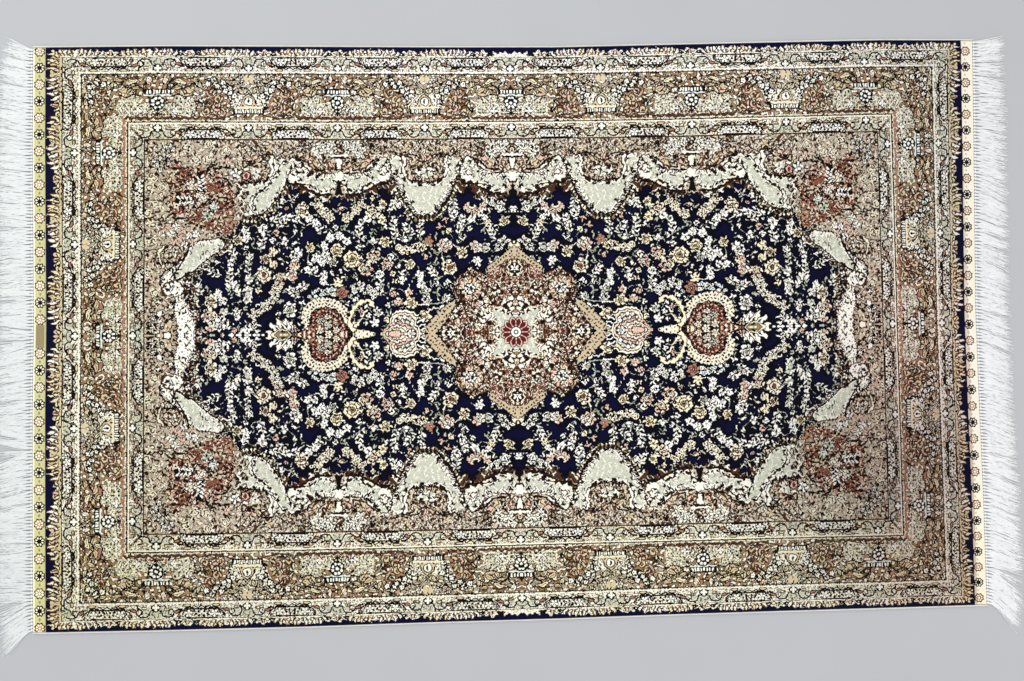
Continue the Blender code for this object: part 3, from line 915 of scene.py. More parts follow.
def spandrel_flowers(c, rng):
    grounds = ["beige", "sand"]

    def rosettes(x, y):
        rosette(c, x, y, rng.uniform(4.6, 6.2), 5, "pink" if rng.random() < 0.3 else "cream", "cream",
            "brown", rng.uniform(0, 90), "umber")

    def tendril(x, y):
        start, r, k = rng.uniform(0, 360), rng.uniform(5, 8), rng.choice((-1, 1))
        stroke(c, spiral(x, y, r, r * 0.3, start, start + k * 330, 14), 1.8, "umber", "cream")
        leaf(c, *polar(x, y, r, np.radians(start)), 9, 3.6, start + k * 90, 0.3, "brown", "pale_green")

    strew(c, rng, 2, 585, 2, 305, 21, 8, grounds, tendril)
    strew(c, rng, 2, 585, 2, 305, 17, 7, grounds, rosettes)
    on = c.x[None] + 0 * c.y[:, None] < 592
    scribble(c, 31, 10.5, 1.9, grounds, "umber", ["ivory", "sand", "pale_green", "pink"], 0.1, 1.0, on)
    scribble(c, 36, 8.5, 1.5, grounds, "brown", ["ivory", "pink"], 0.1, 1.3, on)


def chevrons(c, x, y, count, step, angle):
    """A white fern on black: small leaves in pairs."""
    at, t = np.array([x, y], float), heading(angle)
    stroke(c, [at, at + t * step * count * 0.9], 11, "ink")
    for m in range(count):
        for k in (-1, 1):
            leaf(c, *(at + t * (step * m - 1 + 1.5 * k)), 8.0, 3.4, angle + k * 48, 0.3 * k, None, "white")


def corner_cluster(c):
    """The palmette that fills the field's corner: leaves crowded on a rust ground."""
    ground = curve([(448, 163), (452, 184), (446, 204), (452, 226), (464, 236), (468, 252), (484, 262),
        (500, 268), (522, 264), (540, 272), (552, 262), (556, 244), (550, 224), (556, 208), (548, 192),
        (528, 186), (514, 172), (490, 166), (470, 160)], 3, True)
    patch(c, ground, "sand")
    where = inside(c, ground)
    clouds(c, where, waves(c, 62, 22.0), (-0.2, "rose"), (0.3, "rust"))
    for x, y, r, petals, petal, heart in ((532, 252, 12, 5, "rust", "camel"),
            (512, 255, 9, 5, "pink", "peach"), (477, 249, 11, 5, "pink", "rose"),
            (463, 230, 10, 5, "rust", "cream"), (515, 237, 13, 6, "ivory", "pale_green"),
            (497, 219, 12, 5, "peach", "pink"), (487, 209, 8, 5, "camel", "umber"),
            (481, 203, 10, 6, "pale_green", "ice"),
            (492, 189, 11, 6, "pale_green", "sage"), (459, 209, 10, 5, "rust", "pink"),
            (514, 191, 9, 5, "rust", "peach"), (457, 178, 13, 5, "camel", "rose"),
            (480, 178, 8, 5, "rose", "cream"), (540, 205, 9, 5, "pink", "cream"),
            (530, 221, 8, 5, "rose", "pink"), (545, 232, 8, 5, "camel", "pink")):
        bloom(c, x, y, r, petals, 13 * x, "umber", petal, heart, "umber", 0.2)
    scribble(c, 61, 9.0, 1.9, ["sand", "camel", "rose", "rust", "peach", "pink"], "umber",
        ["cream", "pink", "ivory"], 0.2, 1.1, where)
    scribble(c, 65, 7.5, 1.5, ["ivory", "pale_green"], "olive", ["white"], 0.0, 1.2, where)
    for x, y, r in ((517, 237, 9), (500, 217, 8)):
        rosette(c, x, y, r, 7, "ivory", "cream", "brown", 20)
    chevrons(c, 500, 231, 4, 6.2, 82)
    chevrons(c, 516, 213, 4, 6.2, 2)
    rosette(c, 508, 221, 5.5, 5, "ivory", "cream", "umber", 0)
    for points in (((558, 284), (556, 270), (546, 263), (520, 266)),
            ((478, 270), (488, 266), (493, 258), (486, 254)), ((452, 264), (468, 266), (480, 262)),
            ((540, 192), (552, 190), (560, 180), (574, 184)), ((455, 236), (462, 246), (474, 250)),
            ((520, 184), (536, 186), (544, 178))):
        yarn(c, points, 2.8, "ink")
    for x, y, a in ((546, 294, 60), (553, 284, 30), (562, 292, 80), (566, 280, 10), (573, 286, 70),
            (570, 270, -30), (566, 262, 70), (576, 276, 40), (558, 298, 20), (550, 300, 0)):
        bloom(c, x, y, 4.8, 5, a, "ink", "white", None, "ink", 0.22, False)
    bloom(c, 431, 252, 11, 6, 0, "umber", "rose", None, None)
    rings(c, 431, 252, (7.5, "umber"), (5.6, "pink"), (3.4, "deep_rust"))
    rosette(c, 447, 256, 8.5, 5, "white", "mist", "ink", 20, "ink")
    stroke(c, [(424, 240.5), (452, 240.5)], 2.6, "ink")
    column = curve([(447, 240), (437, 231), (443, 219), (434, 209), (440, 199), (432, 190)])
    blob(c, [(452, 238), (438, 240), (431, 228), (437, 217), (429, 206), (434, 190), (446, 192), (450, 214)],
        "beige")
    feather(c, column, 9, 0.5, 4.6, -1, 2.2)
    feather(c, column, 8, 0.5, 4.6, 1, 2.2)
    stroke(c, column, 1.6, "ivory")
    for n, (x, y) in enumerate(((540, 172), (528, 166), (548, 160), (534, 154), (520, 158), (552, 172),
            (510, 160), (544, 148), (528, 144), (514, 148))):
        rosette(c, x, y, 6, 5, ("white", "pink")[n % 2], "cream", "ink", 40 * n, "rust")


def end_forms(c):
    """The ribbon, scrolls and swag at the short end of the ground."""
    blob(c, [(476, 148), (498, 146), (520, 148), (521, 132), (531, 120), (548, 108), (562, 100), (564, 82),
        (560, 64), (532, 62), (530, 88), (515, 97), (500, 106), (488, 116), (478, 128)], "pale_green")
    blob(c, [(540, 60), (543, 42), (540, 24), (537, 0), (537, -20), (510, -20), (510, 0), (511, 18),
        (515, 34), (523, 48), (530, 60)], "pale_green")
    rim = curve([(560, 62), (566, 84), (562, 98), (548, 107), (533, 119), (523, 132), (520, 146)])
    stroke(c, rim, 2.4)
    feather(c, rim, 6, 0.6, 5, 1)
    inner = curve([(475, 146), (478, 128), (488, 116), (500, 106), (515, 97), (530, 89)])
    feather(c, inner, 7, 0.8, 4.2, -1)
    feather(c, inner, 8, 1.0, 6, -1, dye="khaki")
    feather(c, inner, 6, 1.2, 5, 1)
    low = curve([(530, 62), (522, 48), (514, 34), (510, 18), (510, -4)])
    feather(c, low, 6, 0.8, 4.6, -1)
    feather(c, low, 5, 0.8, 6, 1, dye="brown")
    feather(c, [(541, 58), (543, 42), (540, 24), (537, -4)], 7, 0.4, 4.2, 1)
    # bud
    patch(c, curve([(530, 66), (531, 80), (545, 86), (560, 78), (560, 66), (545, 61)], 4, True),
        "pale_green", "brown")
    stroke(c, [(545, 80), (552, 70)], 1.8)
    stroke(c, [(538, 86), (545, 92)], 1.8)
    # round scroll
    rings(c, 546, 129, (15, "umber"), (13, "sand"))
    bloom(c, 545, 130, 9, 5, 20, "brown", "pale_green", "sage", "ink")
    stroke(c, spiral(553, 112, 9, 3, 150, 480), 2.2)
    yarn(c, [(560, 140), (568, 130), (566, 118), (560, 108)], 3, "cream", "umber")
    # S scroll and end vase
    yarn(c, [(546, 62), (556, 58), (552, 50), (546, 46), (556, 42)], 2.6, "pink", "umber")
    yarn(c, [(544, 38), (547, 28), (556, 25), (561, 30)], 2.4)
    blob(c, [(548, 22), (560, 26), (566, 16), (562, 2), (546, 4)], "sand")
    for x, y, r in ((566, 34, 6.5), (575, 27, 5), (566, 22, 5), (576, 14, 5.5), (570, 6, 5), (568, 52, 5.5),
            (577, 40, 4), (562, 12, 4)):
        bloom(c, x, y, r, 5, 10 * x, "ink", "white" if y < 40 else "pink", None, "mist", 0.22)
    patch(c, [(560, 6), (560, -6), (548, -4), (548, 4)], "ivory", "umber")


def medallion(c):
    """The rust lozenge in the middle, with lobed corners and dotted tips."""
    body = [(-3, 118), (0, 117), (14, 113), (36, 98), (46, 92), (54, 97), (72, 99), (88, 93), (97, 80),
        (97, 62), (92, 48), (99, 38), (113, 16), (118, 0), (118, -3), (-3, -3)]
    for a, l in ((90, 21), (62, 18), (38, 14)):
        leaf(c, 0, 127, l, 8, a, 0.15, "midnight", "straw")
    garland(c, [(38, 100), (24, 110), (10, 121), (0, 129), (-5, 131)], 13, "sand", edge="midnight")
    garland(c, [(100, 42), (110, 33), (121, 21), (132, 9), (143, -3)], 16, "sand", edge="midnight")
    patch(c, body, "ivory", "umber", 2.2)
    where = inside(c, body)
    near = np.minimum(np.hypot(c.x[None], c.y[:, None]) / 60 - 1.0, 0.35)
    arms = np.exp(-((c.x[None] - c.y[:, None]) / 16) ** 2) * (c.x[None] < 62)
    clouds(c, where, waves(c, 57, 30.0) * 0.6 + near - 1.2 * arms, (-0.5, "cream"), (-0.4, "tan"),
        (-0.1, "rust"), (1.1, "deep_rust"))
    # corner lobe
    rings(c, 73, 70, (22, "umber"), (20, "tan"), (15, "cream"))
    for n, a in enumerate(turns(9)):
        leaf(c, *polar(73, 70, 11, a), 8, 6.5, np.degrees(a), 0, "rust", ("cream", "pink")[n % 2])
    rosette(c, 72, 70, 9.5, 7, "white", "ivory", "ink", 10, "ink")
    for x, y, r in ((30, 100, 6), (52, 86, 6), (88, 42, 6), (98, 28, 6), (60, 44, 6), (44, 60, 6),
            (26, 78, 7), (8, 72, 6), (70, 28, 6), (80, 8, 7), (12, 94, 5), (38, 76, 5)):
        rosette(c, x, y, r, 5, "cream" if int(x) % 3 else "pink", "ivory", "umber", x * 7, "rust")
    # flowers under the arches at the tips
    for x, y in ((0, 102), (103, 0)):
        rings(c, x, y, (16, "brown"), (14, "cream"), (9, "umber"))
        bloom(c, x, y, 8.5, 6, 30, "ink", "white", "ivory", "ink", 0.2)
    grounds = ["buff", "tan", "rust", "deep_rust", "cream", "ivory"]
    scribble(c, 51, 9.0, 1.8, grounds, "umber", ["cream", "ivory", "buff", "ivory"], 0.4, 0.75, where)
    scribble(c, 53, 7.0, 1.5, grounds, "brown", ["cream", "white"], 0.1, 1.0, where)


def centre_rosette(c):
    """Twelve crimson petals on a pale cross."""
    patch(c, [(-3, 26), (8, 26), (22, 31), (36, 37), (37, 36), (31, 22), (26, 8), (26, -3), (-3, -3)],
        "pale_green")
    for reach, length, width, line, fill in ((5, 20, 13, "umber", "pink"), (9, 13, 7, None, "crimson")):
        for a in turns(12, 15):
            leaf(c, *polar(0, 0, reach, a), length, width, np.degrees(a), 0, line, fill)
    rings(c, 0, 0, (9, "umber"), (7.6, "white"), (4, "ink"), (2.2, "white"))


def pendant(c):
    """The onion palmette beyond the medallion: shells one inside the other."""
    shell = np.array([(218, 0), (210, 6), (203, 13), (200, 24), (196, 33), (186, 38), (172, 38), (160, 34),
        (154, 27), (159, 18), (153, 8), (151, 0)], float)
    shell = np.vstack([shell, shell[-2:0:-1] * [1, -1]])
    middle = np.array([182, 0])
    for y in (0, 5.5, 11, 16.5):
        stroke(c, [(160, y), (143, y * 1.35)], 4.6, "midnight")
        stroke(c, [(160, y), (144, y * 1.35)], 2.4, "white")
    for grow, dye in ((1.05, "ink"), (0.98, "ivory"), (0.90, "brown"), (0.85, "cream"), (0.77, "brown"),
            (0.71, "ivory"), (0.62, "brown"), (0.56, "cream")):
        blob(c, (shell - middle) * grow + middle, dye)
    for n, dye in enumerate(("pink", "ivory", "cream", "pink")):
        leaf(c, 214 - 3 * n, 0, 54 - 9 * n, 38 - 9 * n, 180, 0, "brown", dye)
    for n, (x, y) in enumerate(((186, 26), (177, 27), (168, 24), (165, 15), (172, 18), (180, 20))):
        rings(c, x, y, (3.8, "umber"), (2.6, ("pale_green", "white")[n % 2]))
    stroke(c, spiral(158, 29, 5, 2, 60, 330), 2.0)
    rosette(c, 166, 0, 7.5, 6, "white", "pale_green", "umber", 0, "ink")
    scribble(c, 75, 7.0, 1.4, ["cream", "pink", "ivory"], "brown", ["white"], -0.2, 1.3,
        inside(c, (shell - middle) * 0.8 + middle))


def heart(c):
    """The rust palmette with its collar of dots, its horns and its tail."""
    garland(c, [(259, 6), (267, 24), (279, 40), (294, 49), (312, 51), (327, 45), (335, 34), (335, 22),
        (327, 12)], 13, "cream", "ink", "midnight")
    core = curve([(262, 0), (272, 12), (277, 26), (288, 38), (303, 43), (318, 40), (328, 30), (329, 17),
        (338, 8), (354, 3), (358, 0), (338, -8), (300, -12), (272, -8)], 3, True)
    patch(c, core, "rust", "ink", 2.2)
    at, _ = along(curve([(271, 4), (279, 20), (288, 31), (302, 37), (315, 35), (323, 26), (323, 15)]), 6.0)
    for n, (x, y) in enumerate(at):
        rings(c, x, y, (4.4, "ink"), (3.3, ("rust", "deep_rust")[n % 2]), (1.4, "pink"))
    for x, y, r, p in ((300, 0, 8, "ivory"), (300, 15, 7.5, "pale_green"), (287, 7, 6.5, "cream"),
            (313, 7, 7, "cream"), (312, 21, 6.5, "pale_green"), (289, 20, 5.5, "pink"),
            (301, 28, 5.5, "ivory")):
        rosette(c, x, y, r, 6, p, "cream", "ink", 20 * x, "umber")
    for x, y in ((330, 4), (338, 3), (346, 1), (334, 9), (277, 2), (270, 2)):
        disc(c, x, y, 2.0, "cream")
        disc(c, x + 3.4, y, 1.4, "ink")
    scribble(c, 71, 8.0, 2.0, ["rust"], "ink", ["rose", "pink"], 0.5, 0.7, inside(c, core))
    # cone and horns on the side towards the middle
    patch(c, [(262, 11), (250, 8), (236, 7), (224, 3), (224, -3), (262, -3)], "cream", "midnight", 2.6)
    for x, y in ((256, 6), (250, 3), (244, 5), (238, 1), (232, 3), (257, 1), (227, 0)):
        disc(c, x, y, 1.3, "umber")
    for width, dye in ((10, "midnight"), (6.8, "straw")):
        yarn(c, [(260, 6), (265, 16), (263, 29), (257, 41), (246, 50), (234, 52), (229, 46)], width, dye)
    yarn(c, [(262, 16), (261, 29), (255, 40), (245, 48), (234, 50)], 1.7)
    disc(c, 268, 31, 3.2, "ink")
    for x, y, a in ((254, 14, -60), (250, 20, -50), (248, 28, -40), (244, 34, -30), (240, 12, -80)):
        leaf(c, x, y, 9, 3.4, 180 + a, 0.2, None, "cream")


def outer_bud(c):
    """The white fan beyond the heart, on its stem, with leaves about it."""
    disc(c, 380, 0, 23, "midnight")
    for a, length in ((92, 22), (70, 29), (48, 36), (27, 41), (8, 44), (-8, 44)):
        leaf(c, 358, 0, length, 12, a, -0.3, "ink", "white" if a % 4 else "ivory")
        leaf(c, 358, 0, length * 0.8, 2.2, a, -1.2, None, "umber")
    leaf(c, 356, 0, 36, 17, 0, 0, "umber", "straw")
    leaf(c, 359, 0, 27, 10, 0, 0, "umber", "khaki")
    leaf(c, 364, 0, 14, 4, 0, 0, None, "cream")
    stroke(c, [(402, 0), (446, 0)], 1.8, "white")
    for x, a, length in ((430, 50, 11), (430, 130, 11), (412, 60, 8), (442, 130, 8)):
        leaf(c, x, 2, length, 4.0, a, 0.2, None, "white")


def ruffle(c, seed, size, shift):
    """Moves every knot's dye a little, by two random surfaces, so that no outline looks ruled."""
    rows, cols = c.dye.shape
    row = np.arange(rows)[:, None] + np.rint(waves(c, seed, size) * shift / c.dy).astype(int)
    col = np.arange(cols)[None] + np.rint(waves(c, seed + 1, size) * shift / c.dx).astype(int)
    c.dye = c.dye[np.clip(row, 0, rows - 1), np.clip(col, 0, cols - 1)]


def deepen(c):
    """Black silk about everything that stands on the dark ground."""
    ground = c.dye == DYE["navy"]
    c.dye[rim_of(ground, 4) | (rim_of(ground, 9) & (waves(c, 95, 34.0) > 0.1))] = DYE["midnight"]


def quarter():
    q = Cloth(0, HALF_L, 0, HALF_W, COLS, ROWS, "beige")
    warm = dict(ground="camel", warm="peach", block="tan", scroll="tan", curl="camel", line="brown",
        guard="straw")
    long_side = border(735, 142.5, warm, 5, ([107, 225, 343, 461, 581, 690], [48, 166, 284, 402, 521, 638],
        "ivory", 11.5, 1.15))
    brown = dict(ground="tan", warm="rose", block="camel", scroll="camel", curl="tan", line="rose",
        guard="beige")
    short_side = border(460, 144.5, brown, 6, ([61, 183, 305, 415], [0, 122, 244, 366], "buff", 14.0, 1.3))
    rng = np.random.default_rng(11)
    end_forms(q)
    ground_flowers(q, rng)
    flowers = (q.dye == DYE["pale_green"]) & (q.x[None] < 500) & (q.y[:, None] < 222)
    lobe(q, 142.5)
    lobe(q, 425)
    patch(q, curve([(500, 302), (446, 300), (436, 286), (447, 268), (433, 252), (444, 236), (431, 222),
        (441, 206), (436, 192), (452, 168), (500, 160)], 4, True), "beige")
    for cx in (71, 212, 354):
        bud(q, cx)
    for cx in (0, 283):
        swag_unit(q, cx)
    for rim in (((421, 195), (417, 220), (396, 237), (383, 258), (371, 275), (358, 268), (364, 252),
            (372, 231), (388, 210), (404, 191)), ((548, 92), (533, 112), (518, 140), (510, 148), (468, 152),
            (466, 138), (485, 125), (506, 108), (527, 93), (544, 86))):
        blob(q, rim, "pale_green", "umber")
    fray(q, (q.dye == DYE["pale_green"]) & ~flowers)
    margin = (q.x[None] < 445) & (q.y[:, None] > 282)
    for old, new in (("pink", "sand"), ("tan", "sand"), ("rose", "beige"), ("rust", "beige"),
            ("white", "ivory")):
        redye(q, old, new, margin)
    scribble(q, 33, 8.0, 1.7, ["sand", "beige"], "brown", ["ivory", "pale_green"], 0.2, 1.0,
        (q.x[None] < 445) & (q.y[:, None] > 236))
    corner_cluster(q)
    spandrel_flowers(q, rng)
    medallion(q)
    pendant(q)
    heart(q)
    outer_bud(q)
    ruffle(q, 97, 8.0, 0.75)
    centre_rosette(q)
    deepen(q)
    mottle(q)
    lay_border(q, long_side, short_side)
    for k, (old, new) in enumerate((("umber", "ink"), ("ivory", "white"), ("cream", "ivory"))):
        redye(q, old, new, waves(q, 301 + k, 8.0) > 0.1 * k)
    return q


def mottle(c):
    """Soft patches in the palest green, as a silk dyed in small lots shows them."""
    plain = c.dye == DYE["pale_green"]
    clouds(c, plain, waves(c, 91, 5.0), (0.7, "grey_green"))
    clouds(c, plain & (waves(c, 94, 9.0) > 0.4), waves(c, 98, 3.4), (0.3, "ivory"))


def pile_chart():
    q = quarter().dye
    half = np.vstack([q[::-1], q])
    return np.hstack([half[:, ::-1], half])


DYE_BASE = 32
KNOT_GRAIN = 0.10   # how much lighter or darker one knot may be than the next
END_KNOTS = 24   # knots across a flat-woven end


def flat_weave(left):
    """The chart of a flat-woven end: rosettes, bold and faint in turn, on a pale ground."""
    c = Cloth(0, 20, -HALF_W, HALF_W, END_KNOTS, 2 * ROWS, "butter" if left else "ivory")
    block(c, -1, 2.4, -HALF_W, HALF_W, "ivory")
    pitch, at, r, shift = (26.6, 10.2, 8.3, 0) if left else (26.1, 12.2, 7.4, -3)
    for k in range(-17, 18):
        y = k * pitch + shift
        if left and k == 0:
            block(c, 3.4, 17, -18, 18, "taupe")
            redye(c, "taupe", "khaki", waves(c, 5, 3.0) > 0.5)
            continue
        bold = k % 2 == 0
        line = ("brown", "umber", "ink")[bold + left]
        bloom(c, at, y, r, 8, 22, line, "ivory", None, None, 0.1, False)
        width, spoke, *hub = (1.5, "umber", (3.4, "ink"), (1.2, "umber")) if bold else (1.2, "rose",
            (3.0, "tan"), (1.8, "ivory"))
        for a in turns(8):
            stroke(c, [polar(at, y, 2.0, a), polar(at, y, 0.85 * r, a)], width, spoke)
        rings(c, at, y, *hub)
        disc(c, at + (0 if left else 1), y + pitch / 2, 1.5, "taupe" if left else "pink", 1.6)
    return c.dye


def whole_chart():
    """Every knot from end to end."""
    return np.hstack([flat_weave(True), pile_chart(), flat_weave(False)[:, ::-1]]).astype(np.int64)


# ---- sizes, in metres

PILE_LENGTH = 1.466  # knotted part, between the two flat-woven ends
FULL_WIDTH = 0.922  # over both overcast edges
PILE_THICKNESS = 0.0036
END_WIDTH = 0.020
END_THICKNESS = 0.0016
PILE_CUT = 0.0003  # run of the slope where the pile is cut off above the flat weave
EDGE_ROUNDING = 0.0006
RIM_WIDTH = 1e-6  # the rim is the cloth's outermost row of points
GAP = 0.0003
CORD_WIDTH = 0.0030
CORD_HEIGHT = 0.0034
HALF_LENGTH = PILE_LENGTH / 2 + END_WIDTH
HALF_CLOTH = FULL_WIDTH / 2 - CORD_WIDTH - GAP

BLOCK = 8  # knots along each side of a face of the cloth
PILE_BLOCKS = 235
END_BLOCKS = 3
ACROSS_BLOCKS = 147

# These five tables are in millimetres.
# How far the long edges and the pattern's lines beside them stray from straight, as woven and laid.
SIDE_STRAY = (
    # along the rug, front edge, front border, back border, back edge
    (-753, 0, 1, 0, -1),
    (-560, -1, -1, -1, 0),
    (-340, -1, -3, -3, -2),
    (-130, 1, -4, -4, -4),
    (70, 2, -3, -4, -5),
    (240, 4, -3, -3, -2),
    (400, 5, -2, 0, 1),
    (600, 6, -2, 3, 4),
    (753, 7, -2, 4, 3),
)
BORDER_LINE = 0.308  # where the pattern's borders meet its field, across the rug
PAINTED_SHADE_END = 0.735  # the pile's painted shade stops here, just past its ends
SILK_IOR = 1.45

# How far the pattern strays along the rug, because the weaver beat some rows harder than others.
BEAT_STRAY = (
    # along the rug, front half, back half
    (-733, 0, 0),
    (-682, 1, 5),
    (-600, 4, 9),
    (-570, 6, 13),
    (-428, 4, 13),
    (-285, 1, 11),
    (-142, 0, 6),
    (0, 6, 0),
    (142, 4, 3),
    (285, 9, 6),
    (428, 9, 19),
    (570, 6, 5),
    (682, 2, 5),
    (733, -3, 3),
)

# How far the ends stray from straight. The right end bows in at its middle.
END_STRAY = (
    # across the rug, left end, right end
    (-461, 0, -3),
    (-280, -1, -3),
    (-120, -1, -5),
    (20, 1, -6),
    (160, 0, -3),
    (300, -1, 0),
    (461, 0, 3),
)
BOW_FROM = 0.600  # the ends' bow fades in from this far along

# How the fringes lie: their reach from the rug, and how far their tips are swept along its end.
LEFT_LAY = (
    # across the rug, reach, sweep; a jump in the sweep is where the fringe has parted
    (-461, 46, -32),
    (-415, 56, -26),
    (-406, 60, 2),
    (-300, 60, 0),
    (-200, 60, -8),
    (-184, 58, -11),
    (-178, 58, 6),
    (-140, 60, -2),
    (-8, 60, -9),
    (0, 58, 4),
    (40, 60, -3),
    (300, 60, 4),
    (430, 52, 8),
    (461, 40, 20),
)
RIGHT_LAY = (
    (-461, 52, -34),
    (-404, 60, -36),
    (-394, 62, -12),
    (-300, 61, -20),
    (-150, 58, -18),
    (100, 56, -16),
    (300, 56, -12),
    (461, 52, -2),
)


def read_table(rows, at, column):
    """A column of a table in millimetres, read at places between its rows, in metres."""
    table = np.array(rows) / 1000
    return np.interp(at, table[:, 0], table[:, column])


def woven(x, y):
    """Where points of the straight rug lie once it is woven and laid.

    Across the rug, a point strays by the stray of the four lines (two edges, two border lines), blended
    between the two that it lies between. Along it, by the beat's stray blended between front and back,
    and near the ends by their bow as well.
    """
    lines = (-HALF_CLOTH, -BORDER_LINE, BORDER_LINE, HALF_CLOTH)
    stray_y = 0
    for n, weight in enumerate(np.eye(4)):
        stray_y = stray_y + read_table(SIDE_STRAY, x, n + 1) * np.interp(y, lines, weight)
    share_back = 0.5 + 0.5 * y / HALF_CLOTH
    stray_x = share_back * read_table(BEAT_STRAY, x, 2) + (1 - share_back) * read_table(BEAT_STRAY, x, 1)
    for side, column in ((-1, 1), (1, 2)):
        end = read_table(END_STRAY, y, column)
        corner = [read_table(END_STRAY, s * HALF_CLOTH, column) for s in (-1, 1)]
        bow = end - (share_back * corner[1] + (1 - share_back) * corner[0])
        stray_x = stray_x + bow * np.clip((side * x - BOW_FROM) / (HALF_LENGTH - BOW_FROM), 0, 1)
    return x + stray_x, y + stray_y


# ---- meshes


def add_mesh(name, points, *faces):
    """An object whose mesh has these points and faces, given as arrays."""
    mesh = bpy.data.meshes.new(name)
    mesh.from_pydata(points.reshape(-1, 3).tolist(), [], [face for part in faces for face in part.tolist()])
    obj = bpy.data.objects.new(name, mesh)
    bpy.context.scene.collection.objects.link(obj)
    return obj


def grid_faces(rows, columns, start=0, wrap=False):
    """Quads of a grid of points kept row by row. With wrap, the last column joins the first."""
    last = columns if wrap else columns - 1
    row, column = np.meshgrid(np.arange(rows - 1), np.arange(last), indexing="ij")
    right = (column + 1) % columns
    corners = (row * columns + column, row * columns + right, (row + 1) * columns + right,
        (row + 1) * columns + column)
    return np.stack(corners, -1).reshape(-1, 4) + start


def cloth_lines():
    """The cloth's columns of points: place along the straight rug, height, and column of the chart.

    A column stands at each edge of a block of knots. At either end of the pile there are two, one on the
    flat weave and one on top of the pile, and the faces between them are the pile's cut end.
    """
    pile_end = PILE_LENGTH / 2
    ends = np.linspace(pile_end, HALF_LENGTH, END_BLOCKS + 1)
    pile = np.linspace(-pile_end, pile_end, PILE_BLOCKS + 1)
    pile[[0, -1]] += np.array([PILE_CUT, -PILE_CUT])
    x = np.concatenate([-ends[::-1], pile, ends])
    z = np.concatenate([np.full(END_BLOCKS + 1, END_THICKNESS), np.full(PILE_BLOCKS + 1, PILE_THICKNESS),
        np.full(END_BLOCKS + 1, END_THICKNESS)])
    column = np.concatenate([np.arange(END_BLOCKS + 1), END_BLOCKS + np.arange(PILE_BLOCKS + 1),
        END_BLOCKS + PILE_BLOCKS + np.arange(END_BLOCKS + 1)])
    return x, z, column


def add_cloth(chart):
    """The cloth: a grid of blocks of knots over the top, down over the rim, and the same grid beneath.

    A point lies at its block's corner on the straight rug, moved as the rug was woven and laid. The rim's
    points are drawn down a little and the underside's lie on the floor.
    """
    x, z, column = cloth_lines()
    y = np.linspace(-HALF_CLOTH, HALF_CLOTH, ACROSS_BLOCKS + 1)
    nx, ny = len(x), len(y)
    gx, gy = np.meshgrid(x, y)
    px, py = woven(gx, gy)
    rim = np.minimum(HALF_CLOTH - np.abs(gy), HALF_LENGTH - np.abs(gx)) < RIM_WIDTH
    top = np.stack([px, py, z[None] - EDGE_ROUNDING * rim], -1)
    under = np.stack([px, py, np.zeros_like(px)], -1)
    points = np.concatenate([top.reshape(-1, 3), under.reshape(-1, 3)])

    face_row, face_col = np.indices((ny - 1, nx - 1)).reshape(2, -1)
    block = np.minimum(column[:-1], column[-1] - 1)
    # the pile's cut ends take the block beside them, at its outermost knots
    cut = np.diff(column) == 0
    block = np.where(cut & (x[:-1] < 0), END_BLOCKS, np.where(cut, END_BLOCKS + PILE_BLOCKS - 1, block))
    span = np.stack([column[:-1], column[1:]], -1).astype(float)
    edge = 0.5 / BLOCK
    span[cut & (x[:-1] < 0)] = (END_BLOCKS + 0.2 * edge, END_BLOCKS + edge)
    span[cut & (x[:-1] > 0)] = (END_BLOCKS + PILE_BLOCKS - edge, END_BLOCKS + PILE_BLOCKS - 0.2 * edge)

    top_faces = grid_faces(ny, nx)
    under_faces = grid_faces(ny, nx, nx * ny)[:, ::-1]
    u0, u1 = span[face_col, 0], span[face_col, 1]
    v0, v1 = face_row.astype(float), face_row + 1.0
    top_uv = np.stack([u0, v0, u1, v0, u1, v1, u0, v1], -1).reshape(-1, 4, 2)
    faces, uvs = [top_faces, under_faces], [top_uv, top_uv[:, ::-1]]
    blocks = [np.stack([face_row, block[face_col]], -1)] * 2

    # the rim: front, back, left and right
    def at(r, k, level):
        return level * nx * ny + r * nx + k

    along, across = np.arange(nx - 1), np.arange(ny - 1)
    thin = 0.1 / BLOCK
    for r, turn in ((0, 1), (ny - 1, -1)):
        quad = np.stack([at(r, along, 1), at(r, along + 1, 1), at(r, along + 1, 0), at(r, along, 0)], -1)
        v = np.full(nx - 1, thin if r == 0 else ACROSS_BLOCKS - thin)
        uv = np.stack([span[:, 0], v, span[:, 1], v, span[:, 1], v, span[:, 0], v], -1).reshape(-1, 4, 2)
        faces.append(quad[:, ::turn])
        uvs.append(uv[:, ::turn])
        blocks.append(np.stack([np.full(nx - 1, min(r, ny - 2)), block], -1))
    for k, turn in ((0, -1), (nx - 1, 1)):
        quad = np.stack([at(across, k, 1), at(across + 1, k, 1), at(across + 1, k, 0), at(across, k, 0)], -1)
        u = np.full(ny - 1, thin if k == 0 else column[-1] - thin)
        uv = np.stack([u, across, u, across + 1, u, across + 1, u, across], -1).reshape(-1, 4, 2)
        faces.append(quad[:, ::turn])
        uvs.append(uv[:, ::turn])
        blocks.append(np.stack([across, np.full(ny - 1, block[min(k, nx - 2)])], -1))

    obj = add_mesh("rug_cloth", points, np.concatenate(faces))
    mesh = obj.data
    uv = np.concatenate(uvs) / np.array([column[-1], ACROSS_BLOCKS])
    mesh.uv_layers.new(name="knots").data.foreach_set("uv", uv.astype(np.float32).ravel())
    store_chart(mesh, chart, np.concatenate(blocks))
    return obj


